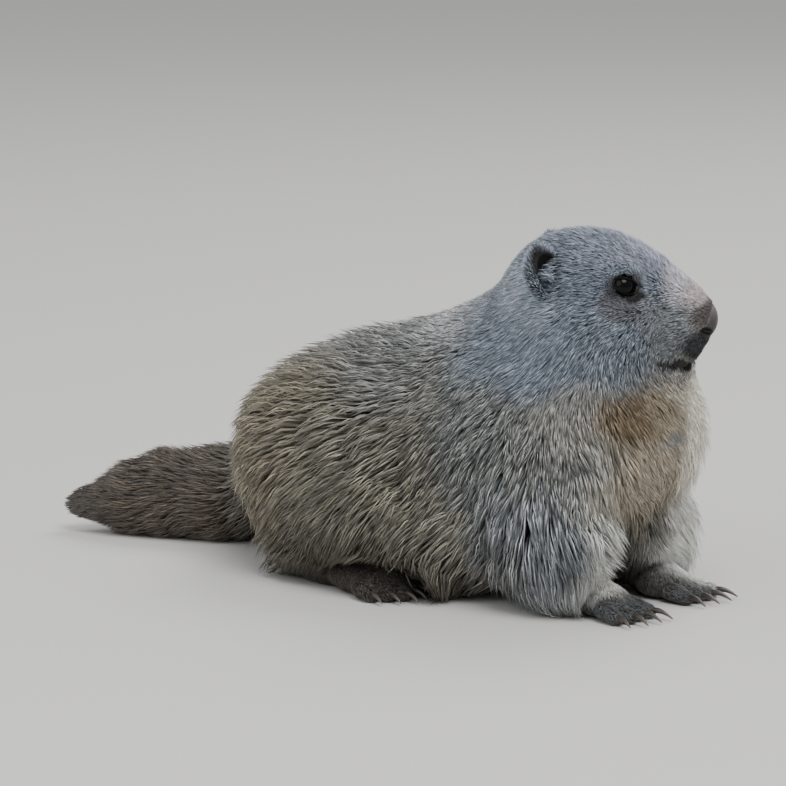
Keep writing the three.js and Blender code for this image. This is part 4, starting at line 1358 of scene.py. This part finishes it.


# Markings and painted shade, each over those before it: a place and radii, how soft the edge is, and the
# colours of the hair's root, middle and tip there. Some are painted shade, in full or in part: low on the
# flank, between and under the forelegs, under the chin, in a fold of the chest, in the ears' openings and in
# the nostrils. The chest's aren't mirrored to the right, because the turned head twists the throat. The
# head's and the face's are in the head's frame, and only the face's have no ragged edges.
BASE = ("2b2a29", "6b6860", "aaa698")
BODY_MARKS_AND_SHADE = [
    ((-150, 0, 130), (110, 66, 46), 0.4, ("2a2b2d", "646566", "aaaaa4")),
    ((-215, 60, 70), (64, 50, 60), 0.5, ("2c2925", "6c6558", "a89e87")),
    ((-120, 78, 60), (60, 34, 40), 0.5, ("26241d", "57544a", "a39d8b")),
    # Painted shade: the low flank, near the floor, is darker.
    ((-130, 70, 20), (74, 44, 24), 0.45, ("1d1a16", "48433b", "736c5e")),
    ((-90, 0, 160), (50, 60, 36), 0.4, ("424346", "999a9c", "dedfde")),
    ((-40, 50, 138), (46, 40, 34), 0.4, ("282c33", "5d6773", "c1ccd9")),
    ((-50, 70, 95), (44, 36, 40), 0.4, ("1f2225", "505455", "b9bbb7")),
    ((-20, 58, 98), (26, 26, 30), 0.4, ("232527", "595a58", "bdbdb7")),
    ((-12, 46, 114), (20, 22, 20), 0.4, ("3d3c3a", "888580", "cccac2")),
    ((-24, 66, 48), (38, 28, 32), 0.4, ("1f2226", "565b61", "ccd1d4")),
    ((-52, 72, 34), (22, 24, 30), 0.4, ("1b1d1e", "4b4d4d", "b4b6b2")),
    ((-18, 58, 20), (26, 24, 16), 0.4, ("3c3f41", "929496", "d0d2d2")),
    ((-12, 33, 46), (18, 14, 46), 0.4, ("6c6c68", "cacac5", "f6f5ef")),
    # Rusty brown hair low behind the foreleg, darkened further with painted shade.
    ((-64, 62, 8), (40, 30, 13), 0.45, ("1e1611", "40332a", "6e5e50")),
    ((-340, 0, 24), (74, 70, 34), 0.35, ("1f1b18", "433b33", "75695c")),
    ((-386, 0, 16), (30, 50, 30), 0.35, ("151210", "27221e", "3d352f")),
    ((6, 32, 2), (36, 26, 13), 0.3, ("1c1c1d", "474849", "7b7c7c")),
    # Painted shade on the lowest flank, by the floor.
    ((-130, 68, 4), (56, 28, 14), 0.3, ("1a1817", "3d3935", "6d665d")),
]
CHEST_MARKS_AND_SHADE = [
    ((8, 0, 82), (28, 38, 42), 0.35, ("594d40", "998c7a", "d0c4b0")),
    # Painted shade between the forelegs.
    ((-12, 18, 34), (18, 11, 32), 0.4, ("20201f", "555553", "8e8e88")),
    ((-10, 46, 50), (26, 20, 52), 0.35, ("acaca6", "f2f2ec", "fffefa")),
    ((7, 32, 98), (20, 22, 38), 0.35, ("cdc4b2", "f6efe0", "fffdf5")),
    ((22, 8, 120), (16, 24, 11), 0.35, ("7c7366", "c6beaf", "f0eadc")),
    # The ochre under the chin, in these two marks: the coat's own tint, darkened with painted shade from the
    # chin.
    ((3, -27, 112), (17, 16, 12), 0.5, ("42382d", "776854", "998667")),
    ((8, -8, 115), (11, 9, 7), 0.5, ("5b5041", "968975", "bdb09a")),
    ((-4, -34, 66), (12, 12, 22), 0.4, ("5c554b", "9a9385", "ccc5b4")),
    # Painted shade in a fold across the front of the chest.
    ((14, -2, 98), (9, 12, 4), 0.5, ("3c3e40", "85888a", "b5b9bb")),
    # Painted shade under the chest, between the forelegs by the floor.
    ((-46, 14, 12), (32, 26, 20), 0.4, ("171412", "322d28", "524b44")),
]
HEAD_MARKS = [
    ((-21, 0, -8), (58, 60, 52), 0.35, ("24292f", "535c67", "b9c4d0")),
    ((-22, 0, 24), (44, 40, 18), 0.4, ("2f333b", "666c79", "bdc4d1")),
    ((14, 0, 14), (22, 26, 14), 0.4, ("393a43", "727584", "c8ccd9")),
    ((-46, 38, -24), (28, 24, 26), 0.4, ("2b3138", "616b7a", "c7d3e0")),
    ((-56, 26, 2), (14, 22, 18), 0.4, ("4b5058", "959eab", "d0d8e2")),
    ((-44, 36, -10), (12, 12, 10), 0.4, ("3a3f47", "808b99", "c6cfda")),
    ((-34, 34, 8), (6, 8, 9), 0.4, ("3f4041", "8d8f8d", "c9cbc6")),
    ((-16, 38, 2), (14, 16, 12), 0.45, ("22272d", "565e6a", "a2acb9")),
    ((18, 20, -16), (14, 10, 12), 0.45, ("2c2e31", "74787d", "afb3b8")),
    ((33, 9, 0), (12, 13, 11), 0.4, ("6a6668", "b8b4bb", "e8e4ea")),
    ((29, 19, -26), (11, 9, 10), 0.4, ("303232", "6e7275", "a6aaab")),
]
FACE_MARKS_AND_SHADE = [
    ((1, 31, -8), (12, 12, 9), 0.35, ("232225", "515257", "8b8c91")),
    ((3, 27, 0), (11, 12, 7), 0.3, ("1a1a1b", "353538", "5e5f64")),
    ((9, 24, -5), (6, 8, 3.6), 0.3, ("0d0b0b", "1b1919", "3a3636")),
    # Painted shade in the opening of the ear, in these two marks.
    ((-43, 34, 12), (3, 9, 8), 0.3, ("0e0d0d", "1d1c1c", "343434")),
    ((-37, 34, 2), (4.5, 9, 5), 0.3, ("0e0d0d", "1d1c1c", "343434")),
    ((43, 0, -19), (9, 15, 9), 0.3, ("282423", "504947", "7a7270")),
    ((39, 6, -8), (7, 10, 5), 0.35, ("635b59", "aba19e", "e0d7d3")),
    ((39, 8, -31), (9, 12, 7.5), 0.3, ("131314", "252628", "484a4c")),
    ((24, 8, -47), (13, 13, 3.6), 0.3, ("474543", "8c8985", "cfcbc6")),
    # Painted shade in the nostril.
    ((44.2, 8.6, -25.2), (5.2, 5, 2.2), 0.25, ("060505", "0a0909", "161414")),
    *((tuple(p), (6.5, 7.5, 2.4), 0.3, ("0c0a0a", "141112", "242021")) for p in mouth_skin[2:]),
]


def markings():
    """The colours of the coat at a place, from the markings and the painted shade: the hair's root, middle
    and tip.
    """
    group, tree, given, out = shader_group(
        "coat markings",
        [("Place", "NodeSocketVector", None)],
        [("Root", "NodeSocketColor"), ("Middle", "NodeSocketColor"), ("Tip", "NodeSocketColor")],
    )
    place = given.outputs["Place"]
    ragged = tree.noise(place, 60.0, 4.0, 0.6).outputs["Color"]
    wander = tree.vector("MULTIPLY", tree.vector("SUBTRACT", ragged, (0.5, 0.5, 0.5)), (18, 18, 18))
    local = tree.vector("MULTIPLY_ADD", place, (1 / MM,) * 3, tuple(-ORIGIN))

    def mirrored_place(vector):
        parts = tree.add("ShaderNodeSeparateXYZ", None, Vector=vector)
        left = tree.maths("ABSOLUTE", parts.outputs["Y"])
        return tree.combine(parts.outputs["X"], left, parts.outputs["Z"])

    away = tree.vector("SUBTRACT", local, tuple(HEAD_PLACE))
    turned = [tree.vector("DOT_PRODUCT", away, tuple(axis)) for axis in HEAD_AXES]
    on_head = mirrored_place(tree.combine(*turned))
    colours = [colour(code) for code in BASE]
    lists = (
        (BODY_MARKS_AND_SHADE, tree.vector("ADD", mirrored_place(local), wander)),
        (HEAD_MARKS, tree.vector("ADD", on_head, wander)),
        (CHEST_MARKS_AND_SHADE, tree.vector("ADD", local, wander)),
        (FACE_MARKS_AND_SHADE, on_head),
    )
    for marks, where in lists:
        for centre, radii, soft, codes in marks:
            scale = tuple(1 / r for r in radii)
            offset = tuple(-c / r for c, r in zip(centre, radii))
            far = tree.vector("LENGTH", tree.vector("MULTIPLY_ADD", where, scale, offset))
            share = tree.ramp(far, 1 - soft, 1 + soft, 1.0, 0.0)
            colours = [tree.mix(share, old, colour(code)) for old, code in zip(colours, codes)]
    for title, made in zip(("Root", "Middle", "Tip"), colours):
        tree.link(made, out.inputs[title])
    return group


def fine_grain():
    """A fine grain over a place, for skin, leather and horn."""
    inputs = [("Place", "NodeSocketVector", None)]
    for title, value in (("Scale", 900.0), ("Detail", 4.0), ("Roughness", 0.6)):
        inputs.append((title, "NodeSocketFloat", value))
    group, tree, given, out = shader_group("fine grain", inputs, [("Grain", "NodeSocketFloat")])
    noise = tree.noise(*(given.outputs[title] for title, _, _ in inputs))
    tree.link(noise.outputs["Fac"], out.inputs["Grain"])
    return group


MARKINGS_AND_SHADE, GRAIN = markings(), fine_grain()


def marks_at(tree, place):
    """The colours of the hair's root, middle and tip, from the markings and the painted shade."""
    marks = tree.add("ShaderNodeGroup", {"node_tree": MARKINGS_AND_SHADE}, Place=place)
    return [marks.outputs[title] for title in ("Root", "Middle", "Tip")]


def grain_at(tree, place, scale, detail, rough):
    """The fine grain at a place, with a material's own values."""
    feeds = {"Place": place, "Scale": scale, "Detail": detail, "Roughness": rough}
    return tree.add("ShaderNodeGroup", {"node_tree": GRAIN}, **feeds).outputs["Grain"]


def new_material(name):
    material = bpy.data.materials.new(name)
    material.use_nodes = True
    return material, Tree(material.node_tree), material.node_tree.nodes["Principled BSDF"]


def set_finish(surface, **values):
    """Sets a surface's plain values by their sockets' names."""
    for title, value in values.items():
        surface.inputs[title.replace("_", " ")].default_value = value


def raise_surface(tree, surface, height, strength, distance, invert=False):
    """Lets a pattern stand out of a surface."""
    feeds = {"Strength": strength, "Distance": distance, "Height": height}
    bump = tree.add("ShaderNodeBump", {"invert": invert}, **feeds)
    tree.link(bump.outputs[0], surface.inputs["Normal"])


def strands(tree, across, along, chance):
    """Fine strands along a tuft, other ones for each chance: 0 in the gaps and 1 on the hairs."""
    x = tree.maths("MULTIPLY_ADD", chance, 61.0, tree.maths("MULTIPLY", across, 3.8))
    spot = tree.combine(x, tree.maths("MULTIPLY", along, 0.9), tree.maths("MULTIPLY", chance, 29.0))
    return tree.ramp(tree.noise(spot, 2.4, 1.0).outputs["Fac"], 0.36, 0.62)


def coat_material():
    """Hair in the colours of the markings and painted shade: dark at its root, pale at a guard hair's tip,
    each tuft in a tone.
    """
    material, tree, surface = new_material("coat")
    place = tree.attribute("place", "Vector")
    along, across, chance = (tree.attribute(title, "Fac") for title in ("along", "across", "chance"))
    root, middle, tip = marks_at(tree, place)
    strand = strands(tree, across, along, chance)
    under = tree.mix(tree.ramp(along, 0.0, 0.45), root, middle)
    pale_from = tree.maths("FRACT", tree.maths("MULTIPLY", chance, 53.0))
    pale_from = tree.maths("MULTIPLY_ADD", pale_from, 0.3, 0.12)
    pale_from = tree.maths("MULTIPLY", pale_from, 2.6)
    pale = tree.maths("SUBTRACT", tree.maths("MULTIPLY", along, 2.6), pale_from, clamp=True)
    guard = tree.ramp(chance, GUARD_FROM - 0.02, GUARD_FROM + 0.06)
    amount = tree.maths("MULTIPLY_ADD", guard, 0.8, 0.16)
    amount = tree.maths("MULTIPLY", amount, tree.maths("MULTIPLY_ADD", strand, 0.5, 0.55))
    hair = tree.mix(tree.maths("MULTIPLY", pale, amount, clamp=True), under, tip)
    odd = tree.maths("FRACT", tree.maths("MULTIPLY", chance, 37.0))
    mottle = tree.noise(place, 260.0, 3.0, 0.7).outputs["Fac"]
    shade = tree.maths("MULTIPLY_ADD", odd, 0.4, tree.maths("MULTIPLY_ADD", strand, 0.45, 0.62))
    shade = tree.maths("MULTIPLY", shade, tree.ramp(mottle, 0.3, 0.7, 0.74, 1.22))
    tone = tree.combine(shade, shade, shade)
    tree.link(tree.mix(1.0, hair, tone, "MULTIPLY"), surface.inputs["Base Color"])
    set_finish(surface, Roughness=0.55, Specular_IOR_Level=0.3, Sheen_Weight=0.1)
    return material


def skin_material():
    material, tree, surface = new_material("skin")
    place = tree.place()
    root, middle, _ = marks_at(tree, place)
    grain = grain_at(tree, place, 900.0, 4.0, 0.6)
    base = tree.mix(tree.maths("MULTIPLY_ADD", grain, 0.5, 0.3), root, middle)
    tree.link(base, surface.inputs["Base Color"])
    raise_surface(tree, surface, grain, 0.6, 0.0006)
    set_finish(surface, Roughness=0.75)
    return material


def eye_material():
    """A black pupil and a dark iris and white, which lie at their angles from the line of sight."""
    material, tree, surface = new_material("eye")
    gaze = tree.attribute("gaze", "Fac")
    iris = tree.mix(tree.ramp(gaze, 0.42, 0.5), colour("030304"), colour("0d0907"))
    white = tree.mix(tree.ramp(gaze, 0.95, 1.05), iris, colour("120e0c"))
    tree.link(white, surface.inputs["Base Color"])
    set_finish(surface, Roughness=0.08, Specular_IOR_Level=0.15)
    return material


def lid_material():
    material, tree, surface = new_material("lid")
    grain = grain_at(tree, tree.place(), 1400.0, 3.0, 0.6)
    base = tree.mix(tree.ramp(tree.attribute("share", "Fac"), 0.95, 1.15), colour("060505"), colour("2b2828"))
    base = tree.mix(tree.attribute("front", "Fac"), base, colour("0a0808"))
    base = tree.mix(tree.maths("MULTIPLY", grain, 0.25), base, colour("2c2928"))
    tree.link(base, surface.inputs["Base Color"])
    raise_surface(tree, surface, grain, 0.5, 0.0003)
    set_finish(surface, Roughness=0.55, Specular_IOR_Level=0.08)
    return material


def nose_material():
    """Pebbled leather, with painted light that makes it paler on top and painted shade under it and in the
    nostrils.
    """
    material, tree, surface = new_material("nose")
    place = tree.place()
    pebble = tree.add("ShaderNodeTexVoronoi", None, Vector=place, Scale=1300.0).outputs["Distance"]
    high = tree.attribute("high", "Fac")
    base = tree.mix(grain_at(tree, place, 240.0, 3.0, 0.6), colour("332e2c"), colour("453e3c"))
    # Painted light: the top of the nose is paler.
    base = tree.mix(tree.ramp(high, 0.1, 0.9), base, colour("6a605c"))
    # Painted shade under the nose.
    base = tree.mix(tree.ramp(high, -0.05, -0.5), base, colour("1a1818"))
    # Painted shade deep in the nostrils.
    base = tree.mix(tree.attribute("deep", "Fac"), base, colour("050404"))
    base = tree.mix(tree.maths("MULTIPLY", pebble, 0.4), base, colour("1e1a19"))
    tree.link(base, surface.inputs["Base Color"])
    raise_surface(tree, surface, pebble, 0.5, 0.0003, invert=True)
    set_finish(surface, Roughness=0.5)
    return material


def ear_material():
    material, tree, surface = new_material("ear")
    grain = grain_at(tree, tree.place(), 900.0, 4.0, 0.6)
    base = tree.mix(tree.maths("MULTIPLY", grain, 0.6), colour("141312"), colour("242222"))
    # Painted shade: the hollow of the ear is nearly black.
    base = tree.mix(tree.attribute("inside", "Fac"), base, colour("080707"))
    tree.link(base, surface.inputs["Base Color"])
    set_finish(surface, Roughness=0.8)
    return material


def claw_material():
    """Horn, darker at the root than at the tip."""
    material, tree, surface = new_material("claw")
    streak = grain_at(tree, tree.place(), 700.0, 3.0, 0.5)
    base = tree.mix(tree.ramp(tree.attribute("along", "Fac"), 0.3, 1.0), colour("1c1817"), colour("4b423b"))
    base = tree.mix(tree.maths("MULTIPLY", streak, 0.4), base, colour("6e655c"))
    tree.link(base, surface.inputs["Base Color"])
    set_finish(surface, Roughness=0.3)
    return material


def plain_material(name, code, rough):
    material, _, surface = new_material(name)
    set_finish(surface, Base_Color=colour(code), Roughness=rough)
    return material


COAT, SKIN = coat_material(), skin_material()
EYE, LID, EAR_SKIN, CLAW = eye_material(), lid_material(), ear_material(), claw_material()
for piece in coat_pieces:
    piece.data.materials.append(COAT)
skin_piece.data.materials.append(SKIN)
for name in SIDES:
    eyes[name].data.materials.append(EYE)
    lids[name].data.materials.append(LID)
    ears[name].data.materials.append(EAR_SKIN)
nose_piece.data.materials.append(nose_material())
for piece in claws.values():
    piece.data.materials.append(CLAW)
whiskers = make_whiskers(plain_material("whisker", "2a2624", 0.5))

# What each piece rides on and stands for
FLESH = ["torso", "neck", "tail", "head"]
for name in SIDES:
    FLESH += [f"foreleg_{name}", f"hindleg_{name}", f"forepaw_{name}", f"hindpaw_{name}"]
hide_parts(*FLESH)
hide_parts("nose")
for name in SIDES:
    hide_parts("eye_" + name)
    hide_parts("ear_" + name)
for paw, piece in claws.items():
    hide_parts(*(f"{paw}_claw_{n + 1}" for n in range(len(PAWS[paw]["toes"]))))
COAT_SLOTS = {"head": "head_coat", "tail": "dark_coat"}
for piece in coat_pieces:
    region = piece.name.split("_")[1]
    COAT_SLOTS.get(region, "grey_coat")
bare_pieces = [skin_piece, nose_piece, whiskers]
for named in (eyes, lids, ears, claws):
    bare_pieces += named.values()
for piece in bare_pieces + coat_pieces:
    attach(piece, BODY)


# The floor, lights and camera
FLOOR = 30


def make_floor():
    mesh = bpy.data.meshes.new("floor")
    corners = [(x * FLOOR, y * FLOOR, 0) for x, y in ((-1, -1), (1, -1), (1, 1), (-1, 1))]
    mesh.from_pydata(corners, [], [(0, 1, 2, 3)])
    mesh.materials.append(plain_material("floor", "c9c7c3", 0.9))
    add_object("floor", mesh)


def back_way(azimuth, elevation):
    """The way from the model to whoever looks at it from these angles, in degrees."""
    a, e = math.radians(azimuth), math.radians(elevation)
    return np.array((math.sin(a) * math.cos(e), -math.cos(a) * math.cos(e), math.sin(e)))


def make_camera():
    """Looks along the photograph's line of sight, with the near eye at its place in the picture."""
    data = bpy.data.cameras.new("camera")
    data.lens, data.sensor_width = CAMERA["lens"], CAMERA["sensor"]
    data.clip_end = 100
    camera = add_object("camera", data)
    back = back_way(CAMERA["azimuth"], CAMERA["elevation"])
    right = unit(np.cross((0, 0, 1), back))
    up = np.cross(back, right)
    distance = PIXELS / PIXELS_PER_MM * MM * CAMERA["lens"] / CAMERA["sensor"]
    eye = set_in_frame(from_head(eye_place(-1)))
    offset = [(pixel - PIXELS / 2) / PIXELS_PER_MM * MM for pixel in EYE_PIXEL]
    target = eye - right * offset[0] + up * offset[1]
    camera.location = Vector(target + back * distance)
    camera.rotation_euler = Vector(back).to_track_quat("Z", "Y").to_euler()
    bpy.context.scene.camera = camera


LIGHT_DISTANCE = 3
LIGHT_AIM = 0.1  # how high over the floor the lights aim
# Each light's name, azimuth, elevation, size, power and tint
LIGHTS = [
    ("key", 62, 58, 2.0, 74, (0.99, 0.99, 1)),
    ("fill", -10, 30, 2.6, 26, (0.95, 0.97, 1)),
    ("rim", 190, 50, 1.8, 40, (1, 1, 1)),
]


def make_light(name, azimuth, elevation, size, power, tint):
    data = bpy.data.lights.new(name, "AREA")
    data.shape, data.size, data.energy, data.color = "DISK", size, power, tint
    light = add_object(name, data)
    back = back_way(azimuth, elevation)
    light.location = Vector(back * LIGHT_DISTANCE + (0, 0, LIGHT_AIM))
    light.rotation_euler = Vector(back).to_track_quat("Z", "Y").to_euler()


SKY = {"Color": (0.86, 0.88, 0.9, 1), "Strength": 0.7}


def make_sky():
    world = bpy.data.worlds.new("world")
    bpy.context.scene.world = world
    world.use_nodes = True
    set_finish(world.node_tree.nodes["Background"], **SKY)


make_floor()
make_camera()
for light in LIGHTS:
    make_light(*light)
make_sky()
